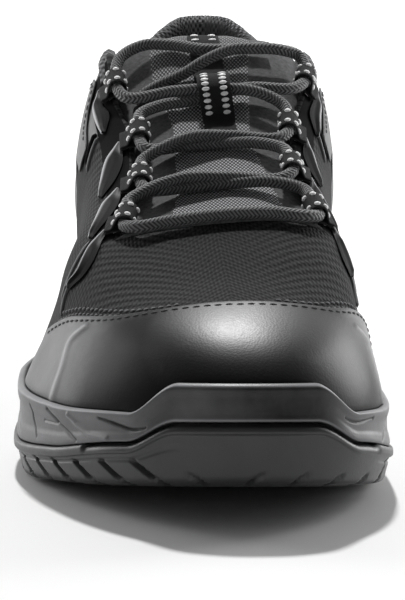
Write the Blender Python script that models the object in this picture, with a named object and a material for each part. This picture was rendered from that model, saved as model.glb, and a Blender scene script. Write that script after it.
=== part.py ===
"""Low-cut safety work shoe for the right foot: sole, insole, hollow upper, overlays, tongue and lace.

The toe points along -Y, the inner (medial) side is +X and the tread stands on z = 0.
Sizes and tables are in millimetres, and every piece is worked out from them and built in metres.
"""

import math

import bmesh
import bpy
import numpy as np

MM = 0.001

# Main sizes
LENGTH = 302.0
GAP = 0.3
OVERLAY_GAP = 0.5
OVERLAY_THICK = 1.3

# End roundings of the sole's plan: depth over which an end closes and how square it is
HEEL_ROUND = 44.0
HEEL_POWER = 2.2
TOE_ROUND_LATERAL = 84.0
TOE_ROUND_MEDIAL = 60.0
TOE_POWER = 2.25

# Sole
TREAD_INSET = 4.5
TREAD_ROUND = 2.4
SOLE_LIP = 2.6
OUTSOLE_RIM = 3.4
OUTSOLE_CORE = 6.5
MIDSOLE_SET_BACK = 1.0
MIDSOLE_WAIST = 2.6
MIDSOLE_TOP_INSET = 2.0
MIDSOLE_RIM = 2.6
BUMPER_FLAT = 20.0
BUMPER_END = 37.0
BUMPER_RISE = 6.5
LINE_RISE = 5.5

# Lug slots round the lower edge of the outsole
SLOT_PITCH = 13.3
SLOT_START = 0.92
SLOT_WIDTH = 2.0
SLOT_REACH = 24.0
SLOT_DEPTH = 3.4
SLOT_SIDE_DEPTH = 1.9
SLOT_SIDE_HEIGHT = 7.0
SLOT_SLANT = 1.4
SLOT_FREE_HEEL = 4.0
SLOT_FREE_ARCH = (92.0, 150.0)
SLOT_FREE_TOE = (0.93, 1.2)

# Upper
UPPER_INSET = 5.0
WALL = 2.4
COLLAR_PAD = 5.0
COLLAR_CURVE = 2.4
COLLAR_END = 88.0
ARCH_START = 120.0
TOE_PIVOT = 246.0
PIVOT_SOFT = 12.0
VAMP_EDGE_STATION = 19

# Toe cap seam: where it crosses the middle, and the drop that it has at a distance to each side
SEAM_ALONG = 263.5
SEAM_DROP = 16.5
SEAM_LATERAL = 35.5
SEAM_MEDIAL = 33.5
SEAM_POWER = 3.6

# Heel counter: how many stations of the upper it covers on each side of the heel, and its clearance
COUNTER_STATIONS = 14
COUNTER_GAP = 1.05

# Insole
INSOLE_THICK = 4.5
INSOLE_INSET = 8.0

# Tongue and its keeper strip
TONGUE_THICK = 4.5
TONGUE_TOP = 99.0
TONGUE_END = 229.0
TONGUE_DEPTH_EDGE = 3.3
TONGUE_DEPTH_MID = 2.2
KEEPER_HALF = 4.6
KEEPER_THICK = 0.9

# Lace and its loops
LACE_RADIUS = 1.8
LOOP_OUTER = 3.0
LOOP_INNER = 2.2
LOOP_HALF = 4.3
LOOP_SET_IN = 3.4
LOOP_LIFT = 2.2
LOOP_TAIL = 6.4
LOOP_TAIL_THICK = 1.3

# Grid of the upper: stations from heel to toe and levels from sole to edge, then on to the ridge
STATIONS = 30
LEVELS = (0.0, 0.1, 0.24, 0.4, 0.56, 0.72, 0.87, 1.0)
RIDGE_LEVELS = (1.25, 1.5, 1.75, 2.0)


class Table:
    """A short table along the shoe: the first column is the distance from the heel back."""

    def __init__(self, columns, rows):
        self.columns = columns.split()
        self.rows = np.array(rows, float)

    def __call__(self, name, along):
        xs = self.rows[:, 0]
        ys = self.rows[:, self.columns.index(name)]
        return smooth(xs, ys, np.asarray(along, float))


# Plan of the sole's widest line: middle line and half widths before the ends are rounded
PLAN = Table(
    "along spine lateral medial",
    [
        (0.0, 0.0, 38.0, 38.0),
        (45.0, 0.0, 41.0, 40.0),
        (85.0, 0.0, 40.5, 40.0),
        (120.0, 0.0, 41.5, 39.5),
        (155.0, 0.5, 46.0, 41.5),
        (178.0, 1.5, 52.0, 44.0),
        (200.0, 2.8, 57.4, 47.0),
        (222.0, 4.6, 58.7, 47.8),
        (260.0, 8.4, 55.0, 45.5),
        (302.0, 12.0, 48.0, 42.0),
    ],
)

# Heights along the sole: tread, outsole top line, feather line of the upper, footbed floor
PROFILE = Table(
    "along tread line feather floor",
    [
        (0.0, 2.0, 14.5, 41.0, 29.5),
        (14.0, 0.0, 13.5, 40.0, 29.0),
        (84.0, 0.0, 12.5, 36.0, 27.0),
        (102.0, 4.0, 12.5, 34.5, 26.0),
        (132.0, 4.0, 12.0, 31.5, 23.0),
        (156.0, 0.0, 11.5, 29.0, 20.5),
        (200.0, 0.0, 11.0, 27.0, 18.0),
        (220.0, 0.3, 11.0, 26.0, 17.5),
        (256.0, 4.8, 15.0, 27.0, 20.0),
        (283.0, 9.6, 21.5, 30.0, 23.5),
        (302.0, 13.4, 25.0, 32.5, 26.5),
    ],
)

# The last: ridge height and lean, then for each side how square its sections are, their flare and swell
LAST = Table(
    "along ridge lean lateral_power medial_power lateral_flare medial_flare lateral_swell medial_swell",
    [
        (0.0, 118.0, 0.0, 5.4, 6.0, 0.0, 0.0, 4.0, 4.0),
        (30.0, 118.0, 0.0, 5.4, 6.0, 0.0, 0.0, 4.6, 5.0),
        (98.0, 116.0, 0.0, 5.4, 6.0, 0.0, 0.0, 4.0, 6.0),
        (123.0, 105.2, 0.09, 5.4, 6.0, 0.0, 0.0, 2.5, 5.5),
        (151.0, 92.2, 0.09, 4.2, 4.6, 3.0, 0.0, 0.5, 3.0),
        (176.0, 82.7, 0.11, 3.8, 4.0, 6.0, 0.5, 0.0, 1.5),
        (201.0, 74.7, 0.1, 3.8, 4.0, 8.0, 2.0, 0.0, 0.5),
        (213.0, 71.0, 0.1, 3.8, 4.0, 8.5, 2.5, 0.0, 0.0),
        (228.0, 66.0, 0.09, 3.4, 3.6, 8.5, 3.0, 0.0, 0.0),
        (246.0, 60.0, 0.06, 2.9, 3.0, 7.0, 3.0, 0.0, 0.0),
        (265.0, 56.0, 0.03, 2.7, 2.7, 5.0, 3.0, 0.0, 0.0),
        (285.0, 53.5, 0.0, 2.7, 2.7, 3.0, 2.5, 0.0, 0.0),
        (302.0, 51.0, 0.0, 2.7, 2.7, 2.0, 2.0, 0.0, 0.0),
    ],
)

# Topline round the collar: height of the edge and how far it leans in on each side
COLLAR = Table(
    "along height lateral_inset medial_inset",
    [
        (0.0, 112.5, 7.0, 7.0),
        (1.2, 112.0, 7.0, 7.0),
        (3.5, 110.0, 7.0, 7.0),
        (8.0, 106.0, 7.0, 6.5),
        (22.0, 99.5, 7.5, 6.2),
        (42.0, 94.0, 8.0, 5.5),
        (60.0, 92.0, 7.0, 4.0),
        (82.0, 96.5, 5.0, 2.5),
        (104.0, 109.0, 5.0, 2.0),
        (125.0, 110.0, 6.0, 2.0),
        (302.0, 110.0, 6.0, 2.0),
    ],
)

# Heel counter: levels of its two edges on the upper, with an arm that runs up to the top loop
COUNTER = Table(
    "along low high",
    [
        (0.0, 0.0, 0.64),
        (40.0, 0.0, 0.58),
        (72.0, 0.0, 0.62),
        (92.0, 0.1, 0.74),
        (103.0, 0.2, 0.82),
        (110.0, 0.26, 0.8),
        (120.0, 0.3, 0.59),
        (136.0, 0.36, 0.52),
    ],
)

# Half gaps of the throat on each side of the middle line
THROAT = Table(
    "along lateral medial",
    [
        (0.0, 29.0, 34.0),
        (104.0, 29.0, 34.0),
        (124.0, 28.0, 32.0),
        (153.0, 21.8, 27.2),
        (179.0, 22.2, 26.8),
        (204.0, 27.4, 31.0),
        (212.4, 29.0, 32.0),
        (246.0, 22.0, 24.0),
        (302.0, 12.0, 12.0),
    ],
)

# Half widths of the tongue on each side of the middle line
TONGUE = Table(
    "along lateral medial",
    [
        (99.0, 20.0, 22.0),
        (103.0, 27.0, 30.5),
        (112.0, 29.5, 33.5),
        (130.0, 31.0, 35.0),
        (165.0, 31.0, 34.0),
        (205.0, 33.0, 35.0),
        (229.0, 27.0, 27.0),
    ],
)

# Lace loops, from the toe up: distance from the heel back
LOOP_ROWS = {4: 204.0, 3: 179.0, 2: 153.0, 1: 124.0}

# Straps under the lace loops: distance along and level down their outer and their inner edge
STRAPS = {
    ("lateral", 1): {
        "outer": [(118.0, 0.84), (122.0, 0.77), (132.0, 0.755), (140.0, 0.77)],
        "inner": [(119.5, 0.855), (127.0, 0.865), (134.0, 0.9), (140.8, 0.8)],
    },
    ("lateral", 2): {
        "outer": [(151.5, 0.9), (157.5, 0.78), (166.0, 0.745), (174.0, 0.735)],
        "inner": [(153.5, 0.925), (163.0, 0.925), (170.0, 0.87), (176.0, 0.755)],
    },
    ("lateral", 3): {
        "outer": [(178.0, 0.9), (183.0, 0.815), (194.0, 0.785), (202.5, 0.76)],
        "inner": [(180.0, 0.925), (190.0, 0.925), (197.5, 0.88), (204.0, 0.785)],
    },
    ("lateral", 4): {
        "outer": [(204.5, 0.905), (208.5, 0.81), (213.5, 0.735), (218.5, 0.63), (218.0, 0.48)],
        "inner": [(207.0, 0.915), (213.5, 0.87), (219.5, 0.785), (223.0, 0.66), (221.0, 0.49)],
    },
    ("medial", 1): {
        "outer": [(118.0, 0.81), (123.5, 0.72), (133.0, 0.69), (141.0, 0.66)],
        "inner": [(119.5, 0.83), (127.0, 0.84), (135.0, 0.85), (142.0, 0.69)],
    },
    ("medial", 2): {
        "outer": [(152.0, 0.86), (159.0, 0.78), (167.0, 0.735), (173.0, 0.7)],
        "inner": [(154.0, 0.88), (163.0, 0.9), (170.0, 0.845), (175.5, 0.72)],
    },
    ("medial", 3): {
        "outer": [(178.0, 0.865), (186.0, 0.815), (196.0, 0.785), (204.0, 0.755)],
        "inner": [(180.0, 0.888), (190.0, 0.905), (198.0, 0.87), (205.5, 0.775)],
    },
    ("medial", 4): {
        "outer": [(204.5, 0.85), (208.0, 0.77), (213.0, 0.66), (219.5, 0.53)],
        "inner": [(207.5, 0.866), (214.0, 0.84), (220.0, 0.76), (223.0, 0.58)],
    },
}
STRAP_GIRTH = 70.0

# Lace runs over the tongue: along, sideways from the middle line and lift of the cord's middle above the last
LACE_BAR = [
    (213.4, -22.5, 2.9),
    (213.0, -13.0, 2.6),
    (211.8, 2.0, 2.4),
    (213.0, 17.0, 2.6),
    (213.4, 26.0, 2.9),
]
LACE_CROSSINGS = {
    "lower": (
        [(195.4, -23.6, 2.6), (190.6, -17.0, 3.2), (187.5, -8.0, 3.4), (186.5, 6.0, 1.6), (188.0, 21.7, 2.2)],
        [(195.4, 26.7, 2.6), (190.6, 18.0, 1.6), (188.0, 6.0, 0.3), (187.5, -7.0, 0.3), (188.0, -18.2, 2.2)],
    ),
    "middle": (
        [(170.4, -18.5, 2.6), (166.0, -12.0, 3.2), (162.5, -4.0, 3.4), (161.0, 8.0, 1.6), (162.0, 22.2, 2.2)],
        [(170.4, 22.7, 2.6), (166.0, 16.0, 1.6), (163.0, 6.0, 0.3), (162.0, -5.0, 0.3), (162.0, -17.6, 2.2)],
    ),
    "upper": (
        [(144.4, -18.6, 2.6), (140.6, -13.0, 1.8), (138.0, -4.0, 0.5), (135.5, 14.0, 1.8), (133, 27.2, 2.4)],
        [(144.4, 23.7, 2.6), (140.0, 17.0, 3.2), (137.5, 7.0, 3.5), (135.5, -8.0, 2.8), (133.0, -23.2, 2.4)],
    ),
}
# Free ends of the lace, from the back of the top loops
LACE_ENDS = {
    "lateral": [
        (112.6, -24.4, 2.2), (108.8, -18.0, 0.9), (109.6, -9.0, 0.6), (113.2, 0.8, 1.2),
        (113.4, 9.0, 0.8), (112.4, 15.0, 0.2), (111.4, 20.5, 0.1),
    ],
    "medial": [
        (114.6, 28.2, 2.6), (116.4, 23.0, 3.0), (117.4, 16.5, 3.5), (117.6, 9.0, 3.7), (120.4, 1.5, 2.8),
        (124.0, -6.0, 0.8), (127.0, -12.5, 0.1), (129.6, -17.6, -0.6), (131.8, -20.8, -1.2),
    ],
}

# Keeper strip down the tongue: along, sideways and lift of its underside above the last
KEEPER = [
    (101.0, 0.0, -1.8), (108.0, 0.6, -1.8), (122.0, 2.0, -1.8), (127.5, 2.6, -0.8), (131.0, 3.0, 3.0),
    (134.0, 3.4, 5.9), (139.5, 3.8, 5.9), (143.0, 4.2, 2.6), (146.0, 4.6, -1.8), (153.0, 5.0, -1.8),
]


def smooth(xs, ys, x):
    """Monotone cubic through the points (xs, ys), held level past both ends."""
    widths = np.diff(xs)
    slopes = np.diff(ys) / widths
    tangents = np.concatenate([slopes[:1], np.zeros(len(xs) - 2), slopes[-1:]])
    rising = slopes[:-1] * slopes[1:] > 0
    before = 2 * widths[1:] + widths[:-1]
    after = widths[1:] + 2 * widths[:-1]
    left = np.where(rising, slopes[:-1], 1.0)
    right = np.where(rising, slopes[1:], 1.0)
    tangents[1:-1] = np.where(rising, (before + after) / (before / left + after / right), 0.0)
    x = np.clip(x, xs[0], xs[-1])
    i = np.clip(np.searchsorted(xs, x) - 1, 0, len(xs) - 2)
    s = (x - xs[i]) / widths[i]
    start = (1 + 2 * s) * (1 - s) ** 2 * ys[i] + s * (1 - s) ** 2 * widths[i] * tangents[i]
    return start + s * s * (3 - 2 * s) * ys[i + 1] + s * s * (s - 1) * widths[i] * tangents[i + 1]


def ease(low, high, value):
    """Smooth step from 0 at low to 1 at high."""
    s = np.clip((value - low) / (high - low), 0.0, 1.0)
    return s * s * (3 - 2 * s)


def along_of(turn):
    """Distance from the heel back at a turn: 0 is the heel, 1 the toe (by the lateral side), 2 the heel."""
    return LENGTH * (1 - np.cos(np.pi * turn)) / 2


def turn_of(along, side):
    """Turn at a distance from the heel back, on the lateral (-1) or medial (1) side."""
    turn = np.arccos(1 - 2 * np.asarray(along, float) / LENGTH) / np.pi
    return np.where(np.asarray(side) < 0, turn, 2 - turn)


def side_of(turn):
    return np.where(np.mod(turn, 2.0) < 1.0, -1.0, 1.0)


def rounding(depth, radius, power):
    """Share of the full width that is left at a depth from a rounded end."""
    return (1 - np.clip(1 - depth / radius, 0.0, 1.0) ** power) ** (1 / power)


def edge_line(turn):
    """Plan points of the sole's widest line."""
    along = along_of(turn)
    lateral = PLAN("lateral", along) * rounding(LENGTH - along, TOE_ROUND_LATERAL, TOE_POWER)
    medial = PLAN("medial", along) * rounding(LENGTH - along, TOE_ROUND_MEDIAL, TOE_POWER)
    side = side_of(turn)
    half = np.where(side < 0, lateral, medial) * rounding(along, HEEL_ROUND, HEEL_POWER)
    return np.stack([PLAN("spine", along) + side * half, LENGTH / 2 - along], -1)


def outward(turn):
    """Unit plan normals of the widest line, pointing away from the shoe."""
    run = edge_line(turn + 0.002) - edge_line(turn - 0.002)
    run = run / np.linalg.norm(run, axis=-1, keepdims=True)
    return np.stack([run[..., 1], -run[..., 0]], -1)


def bumper_share(turn):
    """1 across the front of the toe, falling to 0 round its corners."""
    reach = np.linalg.norm(edge_line(turn) - edge_line(np.array(1.0)), axis=-1)
    return 1 - ease(BUMPER_FLAT, BUMPER_END, reach)


def sole_ring(turn, outset, height):
    """Points round the sole at an outset from its widest line and at a height."""
    plan = edge_line(turn) + outward(turn) * np.broadcast_to(outset, turn.shape)[:, None]
    return np.column_stack([plan, np.broadcast_to(height, turn.shape)])


def last_frame(turn):
    """Feather point, outward normal, ridge point below and section power of the last at a turn."""
    along = along_of(turn)
    out = outward(turn)
    base = edge_line(turn) - out * UPPER_INSET
    ahead = along - TOE_PIVOT
    pivot = TOE_PIVOT + (ahead - np.sqrt(ahead**2 + PIVOT_SOFT**2)) / 2
    ridge = np.stack([PLAN("spine", pivot), LENGTH / 2 - pivot], -1)
    return base, out, ridge, last_column("power", turn)


def last_column(name, turn):
    """A column of the last's table that has one value for each side."""
    along = along_of(turn)
    return np.where(side_of(turn) < 0, LAST("lateral_" + name, along), LAST("medial_" + name, along))


def arch(turn, share):
    """Point on the closed last: share 0 is the feather line and 1 the ridge."""
    along = along_of(turn)
    base, out, ridge, power = last_frame(turn)
    open_share = np.clip(np.cos(share * np.pi / 2), 0.0, 1.0) ** (2 / power)
    up = np.clip(np.sin(share * np.pi / 2), 0.0, 1.0) ** (2 / power)
    lean_in = (ease(-0.15, 0.55, up) - ease(-0.15, 0.55, 0.0)) * open_share
    shift = last_column("swell", turn) * np.sin(np.pi * up) - last_column("flare", turn) * lean_in
    plan = ridge + (base - ridge) * open_share[..., None] + out * shift[..., None]
    foot = PROFILE("feather", along)
    place = LENGTH / 2 - plan[..., 1]
    crown = LAST("ridge", place) + LAST("lean", place) * (plan[..., 0] - ridge[..., 0])
    height = foot + (crown - foot) * up
    return np.concatenate([plan, height[..., None]], -1)


def quarter(turn, share):
    """Point on the back of the upper: share 0 is the feather line and 1 the collar's edge."""
    along = along_of(turn)
    base, out, _, _ = last_frame(turn)
    foot = PROFILE("feather", along)
    inset = np.where(side_of(turn) < 0, COLLAR("lateral_inset", along), COLLAR("medial_inset", along))
    shift = last_column("swell", turn) * np.sin(np.pi * share) - inset * share**COLLAR_CURVE
    height = foot + (COLLAR("height", along) - foot) * share
    return np.concatenate([base + out * shift[..., None], height[..., None]], -1)


def throat_cuts(turn):
    """Shares of the last at which the throat's edge crosses its sections."""
    along = along_of(turn)
    gap = np.where(side_of(turn) < 0, THROAT("lateral", along), THROAT("medial", along))
    share = np.linspace(1.0, 0.02, 240)
    points = arch(turn[:, None], share)
    reach = np.maximum.accumulate(np.linalg.norm(points[..., :2] - points[:, :1, :2], axis=-1), axis=1)
    return np.array([np.interp(place, row, share) for place, row in zip(gap, reach)])


CUT_TURNS = np.linspace(0.0, 2.0, 721)
CUT_SHARES = throat_cuts(CUT_TURNS)


def upper(turn, level):
    """Outer face of the upper: level 0 is the feather line, 1 the collar and throat edge, 2 the ridge."""
    turn, level = np.broadcast_arrays(np.asarray(turn, float), np.asarray(level, float))
    cut = np.interp(np.mod(turn, 2.0), CUT_TURNS, CUT_SHARES)
    share = np.where(level <= 1, level * cut, cut + (level - 1) * (1 - cut))
    front = arch(turn, share)
    back = quarter(turn, np.minimum(level, 1.0))
    return back + (front - back) * ease(COLLAR_END, ARCH_START, along_of(turn))[..., None]


def upper_normal(turn, level):
    """Unit normals of the upper's outer face."""
    around = upper(turn + 0.004, level) - upper(turn - 0.004, level)
    rise = upper(turn, np.minimum(level + 0.01, 2.0)) - upper(turn, np.maximum(level - 0.01, 0.0))
    normal = np.cross(around, rise)
    return normal / np.linalg.norm(normal, axis=-1, keepdims=True)


def last_height(along, sideways):
    """Height of the last above a plan place given along the shoe and sideways from its middle line."""
    along, sideways = np.broadcast_arrays(np.asarray(along, float), np.asarray(sideways, float))
    turn = turn_of(along, np.where(sideways < 0, -1, 1)).reshape(-1, 1)
    points = arch(turn, np.linspace(1.0, 0.25, 60))
    reach = np.maximum.accumulate(np.abs(points[..., 0] - points[:, :1, 0]), axis=1)
    places = zip(np.abs(sideways).ravel(), reach, points[..., 2])
    return np.array([np.interp(place, row, heights) for place, row, heights in places]).reshape(along.shape)


def over_last(along, sideways, lift):
    """Point at a lift along the normal above the last's instep."""
    along, sideways = np.broadcast_arrays(np.asarray(along, float), np.asarray(sideways, float))
    height = last_height(along, sideways)
    slope_along = (last_height(along + 1, sideways) - last_height(along - 1, sideways)) / 2
    slope_side = (last_height(along, sideways + 1) - last_height(along, sideways - 1)) / 2
    normal = np.stack([-slope_side, slope_along, np.ones_like(height)], -1)
    normal = normal / np.linalg.norm(normal, axis=-1, keepdims=True)
    point = np.stack([PLAN("spine", along) + sideways, LENGTH / 2 - along, height], -1)
    return point + normal * np.broadcast_to(lift, height.shape)[..., None]


def material(name, colour, roughness):
    """A plain Principled material."""
    made = bpy.data.materials.new(name)
    made.use_nodes = True
    shader = made.node_tree.nodes["Principled BSDF"]
    shader.inputs["Base Color"].default_value = (*colour, 1.0)
    shader.inputs["Roughness"].default_value = roughness
    shader.inputs["Metallic"].default_value = 0.0
    return made


def add_mesh(name, points, faces, look, collection):
    """One mesh object from points in millimetres, with its faces turned outwards."""
    mesh = bpy.data.meshes.new(name)
    mesh.from_pydata((np.asarray(points) * MM).tolist(), [], [tuple(int(i) for i in face) for face in faces])
    work = bmesh.new()
    work.from_mesh(mesh)
    bmesh.ops.remove_doubles(work, verts=work.verts, dist=0.00001)
    bmesh.ops.recalc_face_normals(work, faces=work.faces)
    work.to_mesh(mesh)
    work.free()
    mesh.materials.append(look)
    made = bpy.data.objects.new(name, mesh)
    collection.objects.link(made)
    return made


def stations(count):
    """Turns round the shoe, with the same distances along it on both sides."""
    return np.arange(2 * count) / count


def ring_solid(name, rings, look, collection):
    """A closed solid through rings that follow each other, with its two ends filled across."""
    size = len(rings[0])
    points = np.concatenate(rings)
    faces = []
    for low in range(len(rings) - 1):
        for i in range(size):
            j = (i + 1) % size
            faces.append((low * size + i, low * size + j, (low + 1) * size + j, (low + 1) * size + i))
    for start in (0, (len(rings) - 1) * size):
        for i in range(size // 2):
            across = [i, i + 1, size - i - 1, (size - i) % size]
            faces.append([start + k for k in dict.fromkeys(across)])
    return add_mesh(name, points, faces, look, collection)


def boundary_edges(faces):
    """Directed edges that only one face has."""
    edges = {(face[i], face[(i + 1) % len(face)]) for face in faces for i in range(len(face))}
    return [edge for edge in edges if edge[::-1] not in edges]


def sheet_solid(name, outer, inner, faces, look, collection):
    """A closed solid between two sheets of the same faces, joined along their edges."""
    count = len(outer)
    walls = [(b, a, a + count, b + count) for a, b in sorted(boundary_edges(faces))]
    backs = [tuple(i + count for i in reversed(face)) for face in faces]
    return add_mesh(name, np.concatenate([outer, inner]), list(faces) + backs + walls, look, collection)


def grid_faces(rows, columns):
    """Quads of an open grid of points stored row by row."""
    cells = [(r * columns + c, columns) for r in range(rows - 1) for c in range(columns - 1)]
    return [(k, k + 1, k + 1 + width, k + width) for k, width in cells]


def build_outsole(look, collection, cutters):
    """The tread piece: flat heel and forefoot, arch, toe spring, side lip and lug slots."""
    turn = stations(STATIONS)
    along = along_of(turn)
    tread = PROFILE("tread", along)
    line = PROFILE("line", along) + LINE_RISE * bumper_share(turn)
    core = np.minimum(tread + OUTSOLE_CORE, line - 1.0)
    outsole = ring_solid(
        "outsole",
        [
            sole_ring(turn, -TREAD_INSET, tread),
            sole_ring(turn, -TREAD_INSET + TREAD_ROUND, tread + TREAD_ROUND),
            sole_ring(turn, -0.9, line - SOLE_LIP - 0.4),
            sole_ring(turn, 0.0, line - SOLE_LIP),
            sole_ring(turn, -0.4, line),
            sole_ring(turn, -OUTSOLE_RIM, line),
            sole_ring(turn, -OUTSOLE_RIM - 0.6, core),
        ],
        look,
        collection,
    )
    cutter = build_slot_cutter(look, cutters)
    cut = outsole.modifiers.new("lug slots", "BOOLEAN")
    cut.operation = "DIFFERENCE"
    cut.solver = "EXACT"
    cut.object = cutter
    return outsole


def slot_turns():
    """Turns of the lug slots, evenly spaced along the edge of the heel and the forefoot."""
    turn = np.linspace(0.0, 2.0, 1601)
    steps = np.linalg.norm(np.diff(edge_line(turn), axis=0), axis=1)
    run = np.concatenate([[0.0], np.cumsum(steps)])
    count = int(run[-1] / SLOT_PITCH)
    places = np.interp((np.arange(count) + SLOT_START) * run[-1] / count, run, turn)
    along = along_of(places)
    at_heel_back = along < SLOT_FREE_HEEL
    under_arch = (along > SLOT_FREE_ARCH[0]) & (along < SLOT_FREE_ARCH[1])
    round_toe = (places > SLOT_FREE_TOE[0]) & (places < SLOT_FREE_TOE[1])
    return places[~at_heel_back & ~under_arch & ~round_toe]


def build_slot_cutter(look, cutters):
    """All lug slots as one cutter: each is low under the tread and tall at the side, and leans to the toe."""
    profile = [
        (4.0, -3.0),
        (-SLOT_REACH, -3.0),
        (-SLOT_REACH, SLOT_DEPTH),
        (-SLOT_SIDE_DEPTH - TREAD_ROUND, SLOT_DEPTH),
        (-SLOT_SIDE_DEPTH, SLOT_SIDE_HEIGHT),
        (4.0, SLOT_SIDE_HEIGHT),
    ]
    size = len(profile)
    points = []
    faces = []
    for turn in slot_turns():
        place = edge_line(turn)
        out = outward(turn)
        toeward = np.array([-out[1], out[0]]) * (-side_of(turn))
        foot = float(PROFILE("tread", along_of(turn)))
        start = len(points)
        for half in (-SLOT_WIDTH / 2, SLOT_WIDTH / 2):
            for outset, height in profile:
                plan = place + out * outset + toeward * (half - SLOT_SLANT * height)
                points.append((*plan, foot + height))
        faces.append([start + i for i in range(size)])
        faces.append([start + size + i for i in reversed(range(size))])
        for i in range(size):
            j = (i + 1) % size
            faces.append([start + i, start + j, start + size + j, start + size + i])
    cutter = add_mesh("slot_cutter", points, faces, look, cutters)
    cutter.hide_render = True
    cutter.display_type = "WIRE"
    return cutter


def build_midsole(look, collection):
    """The foam piece: it stands on the outsole, steps out over its rim and holds the upper in a low wall."""
    turn = stations(STATIONS)
    along = along_of(turn)
    share = bumper_share(turn)
    line = PROFILE("line", along) + LINE_RISE * share
    core = np.minimum(PROFILE("tread", along) + OUTSOLE_CORE, line - 1.0)
    rim = PROFILE("feather", along) + BUMPER_RISE * share
    floor = PROFILE("floor", along)
    top_outset = -MIDSOLE_TOP_INSET
    inner_outset = -MIDSOLE_TOP_INSET - MIDSOLE_RIM
    waist = -MIDSOLE_WAIST + (MIDSOLE_WAIST - MIDSOLE_SET_BACK) * share
    return ring_solid(
        "midsole",
        [
            sole_ring(turn, -OUTSOLE_RIM - 0.6 - GAP, core + GAP),
            sole_ring(turn, -OUTSOLE_RIM - GAP, line + GAP),
            sole_ring(turn, -MIDSOLE_SET_BACK, line + GAP),
            sole_ring(turn, -MIDSOLE_SET_BACK, line + 0.24 * (rim - line)),
            sole_ring(turn, waist, line + 0.34 * (rim - line)),
            sole_ring(turn, waist, line + 0.66 * (rim - line)),
            sole_ring(turn, top_outset + 0.9, rim - 2.2),
            sole_ring(turn, top_outset + 0.5, rim - 0.7),
            sole_ring(turn, top_outset - 0.4, rim),
            sole_ring(turn, inner_outset, rim),
            sole_ring(turn, inner_outset, floor),
        ],
        look,
        collection,
    )


def build_insole(look, collection):
    """The footbed, a sheet inside the upper on the midsole's floor."""
    turn = stations(STATIONS)
    floor = PROFILE("floor", along_of(turn))
    return ring_solid(
        "insole",
        [
            sole_ring(turn, -INSOLE_INSET, floor + GAP),
            sole_ring(turn, -INSOLE_INSET, floor + GAP + INSOLE_THICK - 1.2),
            sole_ring(turn, -INSOLE_INSET - 1.2, floor + GAP + INSOLE_THICK),
        ],
        look,
        collection,
    )


def vertex_normals(points, faces):
    """Unit normals at the points, from the quads round each."""
    corners = points[np.asarray(faces)]
    facing = np.cross(corners[:, 2] - corners[:, 0], corners[:, 3] - corners[:, 1])
    normals = np.zeros_like(points)
    for corner in range(4):
        np.add.at(normals, np.asarray(faces)[:, corner], facing)
    return normals / np.linalg.norm(normals, axis=1, keepdims=True)


def build_upper(look, collection):
    """The hollow upper: outer face from its function, inner face at the wall's own thickness."""
    turn = stations(STATIONS)
    size = len(turn)
    along = along_of(turn)
    base, _, _, _ = last_frame(turn)
    levels = (0.0,) + LEVELS + RIDGE_LEVELS
    rows = [upper(turn, level) for level in levels]
    rows[0] = np.column_stack([base, PROFILE("floor", along) + GAP])
    back = 1 - ease(64.0, 112.0, along)
    wall = np.concatenate([WALL + COLLAR_PAD * ease(0.5, 0.9, level) * back for level in levels])

    def place(row, i):
        i = i % size
        mirrored = row == len(rows) - 1 and i > STATIONS
        return row * size + (size - i if mirrored else i)

    faces = []
    for row in range(len(rows) - 1):
        for i in range(size):
            front = VAMP_EDGE_STATION <= i < 2 * STATIONS - VAMP_EDGE_STATION
            if row < len(LEVELS) or front:
                faces.append((place(row, i), place(row, i + 1), place(row + 1, i + 1), place(row + 1, i)))
    used = sorted({i for face in faces for i in face})
    order = {old: new for new, old in enumerate(used)}
    faces = [tuple(order[i] for i in face) for face in faces]
    outer = np.concatenate(rows)[used]
    inner = outer - vertex_normals(outer, faces) * wall[used][:, None]
    return sheet_solid("upper", outer, inner, faces, look, collection)


def seam_level(turn):
    """Level at which the toe cap's seam crosses the upper at a turn."""
    levels = np.linspace(0.0, 1.9, 400)
    points = upper(np.full(levels.shape, turn), levels)
    along = LENGTH / 2 - points[:, 1]
    sideways = points[:, 0] - PLAN("spine", along)
    width = np.where(sideways < 0, SEAM_LATERAL, SEAM_MEDIAL)
    behind = along < SEAM_ALONG - SEAM_DROP * (np.abs(sideways) / width) ** SEAM_POWER
    return levels[np.argmax(behind)] if behind.any() else levels[-1]


def overlay(name, turn, low, high, rows, gap, look, collection):
    """A cover piece on the upper between two levels at each turn, at an even thickness."""
    share = np.linspace(0.0, 1.0, rows)[:, None]
    level = low + (high - low) * share
    turns = np.broadcast_to(turn, level.shape)
    points = upper(turns, level)
    normal = upper_normal(turns, level)
    inner = (points + normal * gap).reshape(-1, 3)
    outer = (points + normal * (gap + OVERLAY_THICK)).reshape(-1, 3)
    return sheet_solid(name, outer, inner, grid_faces(rows, len(turn)), look, collection)


def level_above_rim(turn):
    """Level at which the upper comes out of the midsole's wall."""
    levels = np.linspace(0.0, 1.0, 200)
    heights = upper(np.full(levels.shape, turn), levels)[:, 2]
    rim = PROFILE("feather", along_of(turn)) + BUMPER_RISE * bumper_share(np.asarray(turn))
    return levels[np.argmax(heights > rim + 0.9)]


def build_toe_cap(look, collection):
    """The smooth cover of the toe, from the midsole's wall up to its seam."""
    corner_lateral = float(turn_of(217.0, -1))
    corner_medial = float(turn_of(219.0, 1))
    turn = np.linspace(corner_lateral, corner_medial, 29)
    low = np.array([level_above_rim(t) for t in turn])
    high = np.array([seam_level(t) for t in turn])
    return overlay("toe_cap", turn, low, np.maximum(high, low + 0.06), 6, OVERLAY_GAP, look, collection)


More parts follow.
